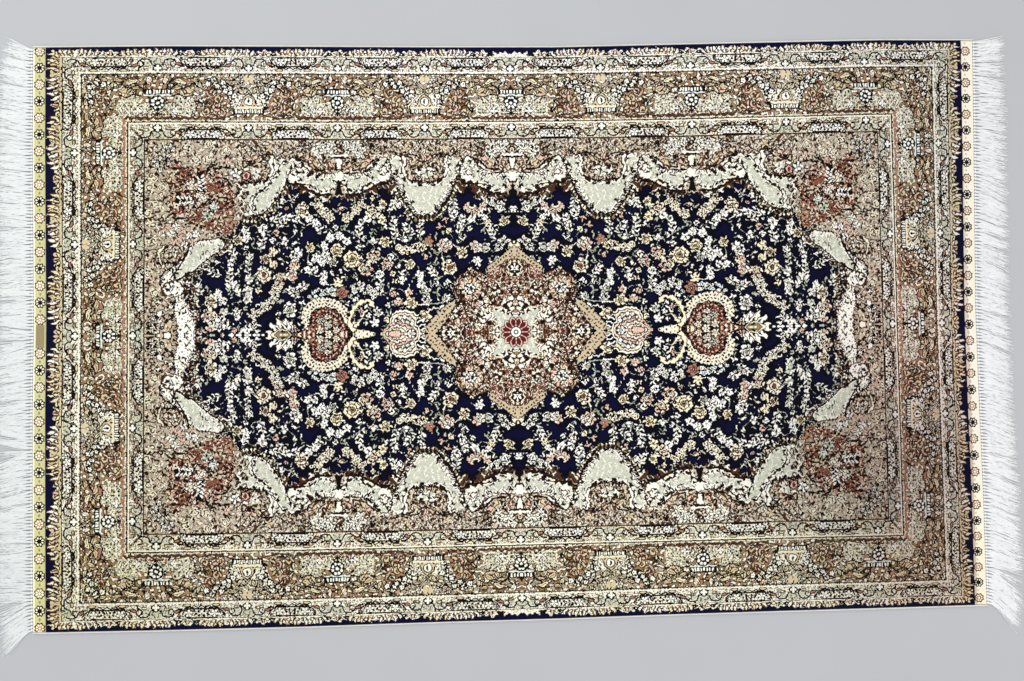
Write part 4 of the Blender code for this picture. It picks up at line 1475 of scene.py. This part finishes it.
def store_chart(mesh, chart, blocks):
    """Writes each face's knots into four colours: four dyes to a number, as digits of base DYE_BASE."""
    ny, nx = chart.shape[0] // BLOCK, chart.shape[1] // BLOCK
    knots = chart.reshape(ny, BLOCK, nx, BLOCK).transpose(0, 2, 1, 3)[blocks[:, 0], blocks[:, 1]]
    digits = DYE_BASE ** np.arange(BLOCK // 2)
    packed = (knots.reshape(-1, BLOCK, 2, BLOCK // 2) * digits).sum(-1).reshape(-1, 4, 4)
    for k in range(4):
        layer = mesh.attributes.new("chart_%d" % k, "FLOAT_COLOR", "FACE")
        layer.data.foreach_set("color", packed[:, k].astype(np.float32).ravel())


def sweep(paths, radii, sides, squash=1.0):
    """Tubes along paths (count, steps, 3): at each step a ring of sides points, squashed upright.

    A ring stands square to its path: one of its axes is the path's direction turned a quarter in the
    floor's plane, the other is their cross product. Returns the points and faces, ends closed.
    """
    count, steps, _ = paths.shape
    ahead = np.gradient(paths, axis=1)
    ahead /= np.linalg.norm(ahead, axis=2, keepdims=True) + 1e-12
    flat = np.stack([-ahead[..., 1], ahead[..., 0], 0 * ahead[..., 0]], -1)
    flat /= np.linalg.norm(flat, axis=2, keepdims=True) + 1e-12
    up = np.cross(ahead, flat)
    turn = np.linspace(0, 2 * math.pi, sides, endpoint=False)
    ring = np.cos(turn)[:, None] * flat[:, :, None] + squash * np.sin(turn)[:, None] * up[:, :, None]
    points = paths[:, :, None] + radii[..., None, None] * ring
    ring_of = np.arange(sides)
    starts = np.arange(count)[:, None] * steps * sides
    walls = (grid_faces(steps, sides, wrap=True)[None] + starts[..., None]).reshape(-1, 4)
    roots, tips = starts + ring_of[::-1], starts + (steps - 1) * sides + ring_of
    return points.reshape(-1, 3), walls, np.concatenate([roots, tips])


STRAY_SHARE = 0.035  # of the strands, those that leave their tassel
RIPPLE = 0.00015  # how far a strand rises and falls along its length


def fringe_line(end, y, out):
    """Points on the line that lies this far out from an end of the cloth."""
    x, placed_y = woven(np.full_like(y, end * HALF_LENGTH), y)
    return x + end * out, placed_y


def add_fringe(name, end, lay, sizes, seed):
    """The warp ends: from each knot of the row beside the flat weave, a tassel of loose strands.

    A strand leaves its knot straight out, spreads from its tassel's middle line, bends by the square of
    the share of its length, and waves a little. Its height falls from the knot to the floor.
    """
    rng = np.random.default_rng(seed)
    tassels, each = sizes.tassels, sizes.strands
    pitch = 2 * HALF_CLOTH / tassels
    root = (np.arange(tassels) + 0.5) * pitch - HALF_CLOTH
    root = root + rng.uniform(-0.12, 0.12, tassels) * pitch
    lean = rng.normal(0, 1, tassels)
    lean = np.convolve(lean, np.ones(7) / 7, "same") * 2.2 + rng.normal(0, 0.5, tassels)
    y0 = np.repeat(root, each)
    spread = rng.uniform(-0.5, 0.5, tassels * each) * pitch
    lean = np.repeat(lean, each) + rng.normal(0, 0.55, tassels * each)
    reach = read_table(lay, y0, 1) * rng.uniform(0.80, 1.04, len(y0))
    reach = reach * np.repeat(rng.uniform(0.93, 1.03, tassels), each)
    sweep_by = read_table(lay, y0, 2) * rng.uniform(0.8, 1.2, len(y0)) + lean * sizes.wander
    stray = rng.random(len(y0)) < STRAY_SHARE
    sweep_by = sweep_by + stray * rng.normal(0, 0.008, len(y0))
    share = np.linspace(0, 1, sizes.steps)[None]
    x_root, y_root = fringe_line(end, y0, 0.0)
    wave = rng.uniform(0.2, 1.0, (len(y0), 1)) * sizes.wave
    phase = rng.uniform(0, 2 * math.pi, (len(y0), 1))
    cycles = rng.uniform(0.6, 2.2, (len(y0), 1)) * 2 * math.pi
    x = x_root[:, None] + end * (GAP + reach[:, None] * share)
    bend = share ** 2 * (2 - share)
    opening = 0.28 + 0.9 * np.clip((share - 0.08) * 5, 0, 1)
    y = y_root[:, None] + spread[:, None] * opening + sweep_by[:, None] * bend
    y = y + wave * np.sin(phase + cycles * share) * share
    level = rng.uniform(0.25, 1.0, (len(y0), 1))
    ripple = RIPPLE * np.sin(phase * 3 + 2 * cycles * share)
    z = sizes.thickness * (0.25 + 0.55 * level * (1 - 0.45 * share)) + ripple
    paths = np.stack([x, y, z], -1)
    radii = sizes.strand / 2 * rng.uniform(0.75, 1.2, (len(y0), 1)) * (1 - 0.45 * share ** 3)
    return add_mesh(name, *sweep(paths, radii, 3, 0.8))


def add_knots(name, end, sizes, seed):
    """The row of overhand knots that ends the flat weave: each a small turned bead, set side by side."""
    rng = np.random.default_rng(seed)
    pitch = 2 * HALF_CLOTH / sizes.tassels
    y = (np.arange(sizes.tassels) + 0.5) * pitch - HALF_CLOTH
    x0, y0 = fringe_line(end, y, GAP)
    share = np.linspace(0, 1, 7)[None]
    x = x0[:, None] + end * sizes.band * (0.05 + 0.95 * share)
    y = y0[:, None] + rng.uniform(-0.08, 0.08, (len(y0), 1)) * pitch + 0 * share
    z = 0 * x + CORD_HEIGHT * 0.36
    swell = np.sin(math.pi * np.clip(share * 0.92 + 0.06, 0, 1)) ** 0.6
    radii = pitch * 0.43 * swell * rng.uniform(0.9, 1.08, (len(y0), 1))
    return add_mesh(name, *sweep(np.stack([x, y, z], -1), radii, 8, 0.48))


def add_side_cord(name, side, sizes):
    """The overcast edge: a core wrapped in thread.

    The surface is a tube along the cloth's edge whose radius swells once for each turn of the thread, and
    the swelling slants round the tube as the turns do.
    """
    wraps = int(2 * HALF_LENGTH / sizes.wrap_pitch)
    steps, sides = wraps * 3 + 1, 8
    x = np.linspace(-HALF_LENGTH, HALF_LENGTH, steps)
    px, py = woven(x, np.full_like(x, side * HALF_CLOTH))
    py = py + side * (GAP + CORD_WIDTH / 2)
    around = np.linspace(0, 2 * math.pi, sides, endpoint=False)
    phase = 2 * math.pi * np.arange(steps)[:, None] / 3 + around[None] * 0.5
    swell = 1 + 0.10 * np.cos(phase)
    half_y, half_z = CORD_WIDTH / 2 / 1.1, CORD_HEIGHT / 2 / 1.1
    points = np.stack([px[:, None] + 0 * swell, py[:, None] - half_y * swell * np.cos(around),
        CORD_HEIGHT / 2 + half_z * swell * np.sin(around)], -1)
    faces = grid_faces(steps, sides, wrap=True)
    caps = np.array([np.arange(sides), (steps - 1) * sides + np.arange(sides)[::-1]])
    obj = add_mesh(name, points, faces[:, ::-1], caps)
    shade_smooth(obj)
    return obj


def shade_smooth(obj):
    mesh = obj.data
    mesh.polygons.foreach_set("use_smooth", np.ones(len(mesh.polygons), bool))


# ---- materials


def linear(code):
    """sRGB hex to linear red, green and blue."""
    parts = [int(code[i:i + 2], 16) / 255 for i in (0, 2, 4)]
    return tuple(p / 12.92 if p <= 0.04045 else ((p + 0.055) / 1.055) ** 2.4 for p in parts)


def add_node(tree, kind, settings=None, inputs=None):
    """Adds a node, sets its properties and sockets, and links the sockets that are given an output."""
    node = tree.nodes.new(kind)
    for key, value in (settings or {}).items():
        setattr(node, key, value)
    for key, value in (inputs or {}).items():
        if isinstance(value, bpy.types.NodeSocket):
            tree.links.new(value, node.inputs[key])
        else:
            node.inputs[key].default_value = value
    return node


def new_material(name):
    material = bpy.data.materials.new(name)
    material.use_nodes = True
    material.node_tree.nodes.clear()
    return material, material.node_tree


def math_of(tree):
    """A short way to add a Math node to this tree."""
    def operate(operation, a, b=0.0, c=0.0):
        return add_node(tree, "ShaderNodeMath", {"operation": operation}, {0: a, 1: b, 2: c}).outputs[0]
    return operate


def mixed(tree, factor, a, b, kind="FLOAT"):
    """Two values, vectors or colours, blended."""
    first, out = {"FLOAT": (2, 0), "VECTOR": (4, 1), "RGBA": (6, 2)}[kind]
    parts = {0: factor, first: a, first + 1: b}
    return add_node(tree, "ShaderNodeMix", {"data_type": kind}, parts).outputs[out]


def ramped(tree, value, low, high, start=0.0, end=1.0):
    """Runs evenly from start to end while the value goes from low to high, and stays level outside."""
    ends = {"Value": value, "From Min": low, "From Max": high, "To Min": start, "To Max": end}
    return add_node(tree, "ShaderNodeMapRange", inputs=ends).outputs[0]


def noise(tree, place, scale, detail, stretch=None):
    """Cloudy noise; stretch scales the three axes first."""
    if stretch:
        place = add_node(tree, "ShaderNodeMapping", inputs={"Vector": place, "Scale": stretch}).outputs[0]
    grade = {"Vector": place, "Scale": scale, "Detail": detail}
    return add_node(tree, "ShaderNodeTexNoise", inputs=grade).outputs[0]


def own_place(tree):
    """Where a point lies in its own piece, in metres."""
    return add_node(tree, "ShaderNodeTexCoord").outputs["Object"]


def bumped(tree, strength, distance, height):
    """A surface whose light follows this height, as the normal that a shader takes."""
    relief = {"Strength": strength, "Distance": distance, "Height": height}
    return add_node(tree, "ShaderNodeBump", inputs=relief).outputs[0]


def show(tree, looks):
    """The shader with these looks, joined to the material's output."""
    shader = add_node(tree, "ShaderNodeBsdfPrincipled", inputs=looks)
    add_node(tree, "ShaderNodeOutputMaterial", inputs={"Surface": shader.outputs[0]})


def knot_places(tree):
    """Where a point lies on the chart: across and up in knots, as unbroken numbers."""
    op = math_of(tree)
    uv = add_node(tree, "ShaderNodeUVMap", {"uv_map": "knots"}).outputs[0]
    parts = add_node(tree, "ShaderNodeSeparateXYZ", inputs={0: uv}).outputs
    columns = (PILE_BLOCKS + 2 * END_BLOCKS) * BLOCK
    return op("MULTIPLY", parts[0], float(columns)), op("MULTIPLY", parts[1], float(ACROSS_BLOCKS * BLOCK))


def chart_dye(tree, across, up):
    """The number of the dye at a point, read from its face's four colours."""
    op = math_of(tree)
    column = op("MODULO", op("FLOOR", across), float(BLOCK))
    row = op("MODULO", op("FLOOR", up), float(BLOCK))
    half, digit = op("FLOOR", op("DIVIDE", column, 4.0)), op("MODULO", column, 4.0)
    channel = op("ADD", op("MULTIPLY", op("MODULO", row, 2.0), 2.0), half)
    layer = op("FLOOR", op("DIVIDE", row, 2.0))
    stored = [add_node(tree, "ShaderNodeAttribute", {"attribute_name": "chart_%d" % k}) for k in range(4)]
    three, fourth = stored[0].outputs["Vector"], stored[0].outputs["Alpha"]
    for k in (1, 2, 3):
        past = op("GREATER_THAN", layer, k - 0.5)
        three = mixed(tree, past, three, stored[k].outputs["Vector"], "VECTOR")
        fourth = mixed(tree, past, fourth, stored[k].outputs["Alpha"])
    parts = add_node(tree, "ShaderNodeSeparateXYZ", inputs={0: three}).outputs
    value = parts[0]
    for k, other in ((1, parts[1]), (2, parts[2]), (3, fourth)):
        value = mixed(tree, op("GREATER_THAN", channel, k - 0.5), value, other)
    shifted = op("FLOOR", op("DIVIDE", op("ADD", value, 0.5), op("POWER", float(DYE_BASE), digit)))
    return op("MODULO", shifted, float(DYE_BASE))


def knotted_silk(dyes):
    """Hand-knotted silk pile, clipped short.

    Each knot is a small round tuft of one dye, a little lighter or darker than its neighbour, so that flat
    colours look grained. Silk gives a soft sheen and a slight lustre. Over the whole rug the colour also
    carries
    painted shade and sheen of the silk pile: darker towards both ends, the front edge and the right front
    corner, yellower at the left end and the front edge, and redder at the right front corner.
    """
    material, tree = new_material("hand-knotted silk pile")
    op = math_of(tree)
    across, up = knot_places(tree)
    dye = chart_dye(tree, across, up)
    share = op("DIVIDE", op("ADD", dye, 0.5), float(DYE_BASE))
    ramp = add_node(tree, "ShaderNodeValToRGB", inputs={0: share})
    stops = ramp.color_ramp
    stops.interpolation = "CONSTANT"
    while len(stops.elements) < len(dyes):
        stops.elements.new(len(stops.elements) / DYE_BASE)
    for k, colour in enumerate(dyes):
        stops.elements[k].position = k / DYE_BASE
        stops.elements[k].color = (*colour, 1)

    # Each knot takes the dye a little differently.
    knot = {0: op("FLOOR", across), 1: op("FLOOR", up)}
    knot = {"Vector": add_node(tree, "ShaderNodeCombineXYZ", inputs=knot).outputs[0]}
    grain = add_node(tree, "ShaderNodeTexWhiteNoise", {"noise_dimensions": "2D"}, knot).outputs[0]
    # Abrash: bands across the rug where a new batch of silk was begun, and slow changes of tone.
    place = own_place(tree)
    band = noise(tree, place, 1.0, 3.0, (14.0, 1.2, 1.0))
    slow = noise(tree, place, 5.0, 2.0)
    along = add_node(tree, "ShaderNodeSeparateXYZ", inputs={0: place}).outputs
    tone = 0.80
    # The last term makes the pile a little darker towards its right end: painted shade of the silk pile.
    for part, weight in ((grain, KNOT_GRAIN), (band, 0.16), (slow, 0.14), (along[0], -0.07)):
        tone = op("ADD", tone, op("MULTIPLY", part, weight))
    # Painted shade of the silk pile: darker towards the right end, most of all near its front corner.
    right = ramped(tree, along[0], 0.40, 0.72, 0.0, -0.20)
    ends = {0: place, 1: (0.56, -0.24, 0.0)}
    reach = add_node(tree, "ShaderNodeVectorMath", {"operation": "DISTANCE"}, ends).outputs["Value"]
    corner = ramped(tree, reach, 0.06, 0.26, -0.31, 0.0)
    # Painted shade of the silk pile: darker towards the left end and the front edge.
    left = ramped(tree, along[0], -0.62, -0.12, -0.16, 0.0)
    left = op("ADD", left, ramped(tree, along[1], -0.37, -0.30, -0.07, 0.0))
    on_pile = op("LESS_THAN", op("ABSOLUTE", along[0]), PAINTED_SHADE_END)
    tone = op("ADD", tone, op("MULTIPLY", on_pile, op("ADD", left, op("ADD", right, corner))))
    toned = {0: ramp.outputs[0], "Scale": tone}
    colour = add_node(tree, "ShaderNodeVectorMath", {"operation": "SCALE"}, toned).outputs[0]
    # Painted sheen of the silk pile: the left end and the front edge are made yellower.
    painted_sheen_tint = [ramped(tree, along[0], -0.60, -0.50, 0.92), ramped(tree, along[1], -0.38, -0.26, 0.92)]
    # Painted shade of the silk pile: the right end is made redder towards its front corner.
    painted_red_shade = [ramped(tree, along[0], 0.50, 0.60), ramped(tree, along[1], 0.18, 0.00)]
    painted_red_shade = op("SUBTRACT", 1.0, op("MULTIPLY", op("MULTIPLY", *painted_red_shade), op("MULTIPLY", on_pile, 0.11)))
    painted_sheen_tint = {0: 1.0, 1: painted_red_shade, 2: op("MULTIPLY", painted_red_shade, op("MULTIPLY", *painted_sheen_tint))}
    painted_sheen_tint = {0: colour, 1: add_node(tree, "ShaderNodeCombineXYZ", inputs=painted_sheen_tint).outputs[0]}
    colour = add_node(tree, "ShaderNodeVectorMath", {"operation": "MULTIPLY"}, painted_sheen_tint).outputs[0]

    # Each knot is a low dome: high in its middle, with a groove round it.
    dome = [op("ABSOLUTE", op("SUBTRACT", op("FRACT", way), 0.5)) for way in (across, up)]
    height = op("SUBTRACT", 1.0, op("MULTIPLY", 2.0, op("MAXIMUM", *dome)))
    height = op("ADD", op("MINIMUM", height, 0.6), op("MULTIPLY", grain, 0.5))
    rough = op("ADD", 0.50, op("MULTIPLY", grain, 0.16))
    show(tree, {"Base Color": colour, "Roughness": rough, "Normal": bumped(tree, 0.35, 0.0003, height),
        "IOR": SILK_IOR, "Specular IOR Level": 0.08, "Sheen Weight": 0.05, "Sheen Roughness": 0.35,
        "Sheen Tint": (1.0, 0.97, 0.9, 1.0)})
    return material


def thread(name, colour, shade, roughness):
    """Silk thread, combed or wrapped: fine darker streaks, painted shade between its fibres and strands, and
    a soft lustre.
    """
    material, tree = new_material(name)
    op = math_of(tree)
    place = own_place(tree)
    streak = noise(tree, place, 1.0, 2.0, (90.0, 1000.0, 400.0))
    slow = noise(tree, place, 35.0, 2.0)
    # How far the colour goes to the painted shade between fibres and strands: fine streaks and slow patches.
    depth = op("MULTIPLY", op("ADD", op("MULTIPLY", streak, 0.7), op("MULTIPLY", slow, 0.5)), 0.9)
    tint = mixed(tree, depth, (*colour, 1), (*shade, 1), "RGBA")
    rough = op("ADD", roughness - 0.05, op("MULTIPLY", streak, 0.1))
    show(tree, {"Base Color": tint, "Roughness": rough, "Normal": bumped(tree, 0.3, 0.0002, streak),
        "IOR": SILK_IOR, "Specular IOR Level": 0.4, "Sheen Weight": 0.15, "Sheen Roughness": 0.4})
    return material


def studio_floor(colour):
    """Matt painted board: one pale tone, barely mottled."""
    material, tree = new_material("matt painted board")
    darker = tuple(0.94 * c for c in colour)
    tint = mixed(tree, noise(tree, own_place(tree), 6.0, 4.0), (*colour, 1), (*darker, 1), "RGBA")
    show(tree, {"Base Color": tint, "Roughness": 0.8})
    return material


# ---- properties, operators and panel


def tidy_name(name):
    return name.replace("_", " ").capitalize()


def colour_property(name, description, code):
    return FloatVectorProperty(name=name, description=description, subtype="COLOR", size=3, min=0.0, max=1.0,
        default=linear(code))


def length_property(name, description, default):
    return FloatProperty(name=name, description=description, default=default, unit="LENGTH")


class SilkRugDyes(bpy.types.PropertyGroup):
    """The colours that the pile's silk was dyed, one for each name on the chart."""

    __annotations__ = {name: colour_property(tidy_name(name), "Dye of the pile's silk", code)
        for name, code in DYES.items()}


class SilkRugFringe(bpy.types.PropertyGroup):
    """The sizes of the fringes and of the overcast edges."""

    tassels: IntProperty(name="Tassels", description="Knotted tassels along each end", default=176, min=20,
        max=400)
    strands: IntProperty(name="Strands", description="Loose strands in each tassel", default=20, min=3,
        max=40)
    steps: IntProperty(name="Steps", description="Points along each strand", default=7, min=3, max=20)
    strand: length_property("Strand", "Diameter of a strand", 0.0009)
    thickness: length_property("Thickness", "Height of the combed fringe", 0.0020)
    band: length_property("Knots", "Length of the knots beside the flat weave", 0.0036)
    wander: length_property("Wander", "How far a strand's tip leaves its tassel's line", 0.0040)
    wave: length_property("Wave", "How far a strand waves", 0.0011)
    wrap_pitch: length_property("Wrap", "Distance between turns of the overcast thread", 0.0026)
    warp_colour: colour_property("Warp", "Colour of the undyed warp silk", "ffffff")
    # Painted shade: the bluish grey mixed into the warp's streaks, standing in for shade between its
    # strands.
    warp_shade: colour_property("Warp shade", "Colour between the warp's strands", "e2e6ea")
    overcast_colour: colour_property("Overcast", "Colour of the overcast edge", "f4f2ec")


class SilkRugStage(bpy.types.PropertyGroup):
    """The floor, lights and camera."""

    floor_size: length_property("Floor", "Length of the floor's side", 9.0)
    floor_colour: colour_property("Floor colour", "Colour of the floor", "b9bbbe")
    key_power: FloatProperty(name="Key", description="Power of the large soft light", default=34.0,
        unit="POWER")
    sky: FloatProperty(name="Sky", description="Strength of the even light from all round", default=0.80)
    camera_height: length_property("Camera height", "Height of the camera over the rug", 1.431)
    lens: FloatProperty(name="Lens", description="Focal length for a 36 mm sensor, in millimetres",
        default=31.64)


class RugPiece:
    """What the rug's operators share."""

    bl_options = {"REGISTER", "UNDO"}

    def carry(self, obj, material, slot, node=None):
        obj.data.materials.append(material)
        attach(obj, "root")
        if node:
            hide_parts(node)
        return obj


class RUG_OT_weave_cloth(RugPiece, bpy.types.Operator):
    """Weave the knotted cloth with its flat-woven ends"""

    bl_idname = "rug.weave_cloth"
    bl_label = "Weave cloth"

    def execute(self, context):
        dyes = [tuple(getattr(context.scene.silk_rug_dyes, name)) for name in DYES]
        cloth = add_cloth(whole_chart())
        self.carry(cloth, knotted_silk(dyes), "silk_pile", "rug")
        return {"FINISHED"}


class RUG_OT_overcast_edges(RugPiece, bpy.types.Operator):
    """Overcast the two long edges"""

    bl_idname = "rug.overcast_edges"
    bl_label = "Overcast edges"

    def execute(self, context):
        sizes = context.scene.silk_rug_fringe
        colour = tuple(sizes.overcast_colour)
        # The thread's darker streaks are painted shade between its turns, in the overcast colour at 0.6.
        material = thread("overcast silk thread", colour, tuple(0.6 * c for c in colour), 0.6)
        for name, side, node in (("edge_back", 1, "side_cord_back"), ("edge_front", -1, "side_cord_front")):
            self.carry(add_side_cord(name, side, sizes), material, "overcast_silk", node)
        return {"FINISHED"}


class RUG_OT_knot_fringes(RugPiece, bpy.types.Operator):
    """Knot and comb out the warp ends"""

    bl_idname = "rug.knot_fringes"
    bl_label = "Knot fringes"

    def execute(self, context):
        sizes = context.scene.silk_rug_fringe
        # The left fringe is given a darker, yellower tint than the right.
        for side, end, lay, seed, side_tint in (("left", -1, LEFT_LAY, 21, (0.90, 0.92, 0.87)),
                ("right", 1, RIGHT_LAY, 22, (1.0, 0.99, 0.97))):
            colour = tuple(tone * tint_share for tone, tint_share in zip(sizes.warp_colour, side_tint))
            material = thread("undyed silk warp, " + side, colour, tuple(sizes.warp_shade), 0.5)
            strands = add_fringe("strands_" + side, end, lay, sizes, seed)
            self.carry(strands, material, "silk_warp", "fringe_" + side)
            knots = add_knots("knots_" + side, end, sizes, seed + 10)
            shade_smooth(knots)
            self.carry(knots, material, "silk_warp")
        return {"FINISHED"}


class RUG_OT_set_stage(bpy.types.Operator):
    """Lay the floor and set the lights and camera"""

    bl_idname = "rug.set_stage"
    bl_label = "Set stage"

    def execute(self, context):
        stage = context.scene.silk_rug_stage
        half = stage.floor_size / 2
        corners = np.array([(-half, -half), (half, -half), (half, half), (-half, half)])
        floor = add_mesh("floor", np.column_stack([corners, np.full(4, FLOOR_LEVEL)]),
            np.array([[0, 1, 2, 3]]))
        floor.data.materials.append(studio_floor(tuple(stage.floor_colour)))
        for name, place, aim, size, power in STAGE_LIGHTS:
            light = bpy.data.lights.new(name, "AREA")
            light.shape = "RECTANGLE"
            light.size, light.size_y = size
            light.energy = power * stage.key_power
            lamp = bpy.data.objects.new(name, light)
            lamp.location = place
            lamp.rotation_euler = facing(np.array(aim) - np.array(place))
            context.scene.collection.objects.link(lamp)
        world = bpy.data.worlds.new("studio")
        world.use_nodes = True
        sky = world.node_tree.nodes["Background"].inputs
        sky["Color"].default_value = (1.0, 1.0, 1.0, 1.0)
        sky["Strength"].default_value = stage.sky
        context.scene.world = world
        context.scene.view_settings.view_transform = "Standard"
        camera = bpy.data.objects.new("camera", bpy.data.cameras.new("camera"))
        camera.data.sensor_width = SENSOR_WIDTH
        camera.data.lens = stage.lens
        camera.location = (*CAMERA_OVER, stage.camera_height)
        camera.rotation_euler = [math.radians(angle) for angle in CAMERA_TILT]
        context.scene.collection.objects.link(camera)
        context.scene.camera = camera
        return {"FINISHED"}


def facing(direction):
    """Rotation that turns an object's -Z to this direction."""
    x, y, z = direction
    return (math.atan2(math.hypot(x, y), -z), 0.0, math.atan2(x, -y) + math.pi)


FLOOR_LEVEL = -0.0006
SENSOR_WIDTH = 36.0  # millimetres
CAMERA_OVER = (-0.048, -0.061)  # the place on the rug below the camera
CAMERA_TILT = (1.79, -1.75, -0.93)  # degrees from looking straight down
STAGE_LIGHTS = (
    # name, place, aimed at, size, share of the key's power
    ("key", (-1.4, 1.3, 2.6), (0.0, 0.0, 0.0), (1.8, 1.4), 1.0),
    ("fill", (1.6, -1.2, 2.4), (0.0, 0.0, 0.0), (2.0, 1.6), 0.45),
)


class RUG_PT_silk_rug(bpy.types.Panel):
    """Silk rug"""

    bl_label = "Silk rug"
    bl_space_type = "VIEW_3D"
    bl_region_type = "UI"
    bl_category = "Rug"

    def draw(self, context):
        layout = self.layout
        for operator in OPERATORS:
            layout.operator(operator.bl_idname)
        for label, group in (("Fringes", "silk_rug_fringe"), ("Stage", "silk_rug_stage"),
                ("Dyes", "silk_rug_dyes")):
            box = layout.box()
            box.label(text=label)
            settings = getattr(context.scene, group)
            for prop in settings.__annotations__:
                box.prop(settings, prop)


OPERATORS = (RUG_OT_set_stage, RUG_OT_weave_cloth, RUG_OT_overcast_edges, RUG_OT_knot_fringes)
GROUPS = (("silk_rug_dyes", SilkRugDyes), ("silk_rug_fringe", SilkRugFringe),
    ("silk_rug_stage", SilkRugStage))


def register():
    for cls in [group for _, group in GROUPS] + list(OPERATORS) + [RUG_PT_silk_rug]:
        bpy.utils.register_class(cls)
    for name, group in GROUPS:
        setattr(bpy.types.Scene, name, PointerProperty(type=group))


def unregister():
    for name, _ in GROUPS:
        delattr(bpy.types.Scene, name)
    for cls in [RUG_PT_silk_rug] + list(OPERATORS) + [group for _, group in GROUPS]:
        bpy.utils.unregister_class(cls)


def main():
    register()
    for operator in OPERATORS:
        getattr(bpy.ops.rug, operator.bl_idname.split(".")[1])()


if __name__ == "__main__":
    main()
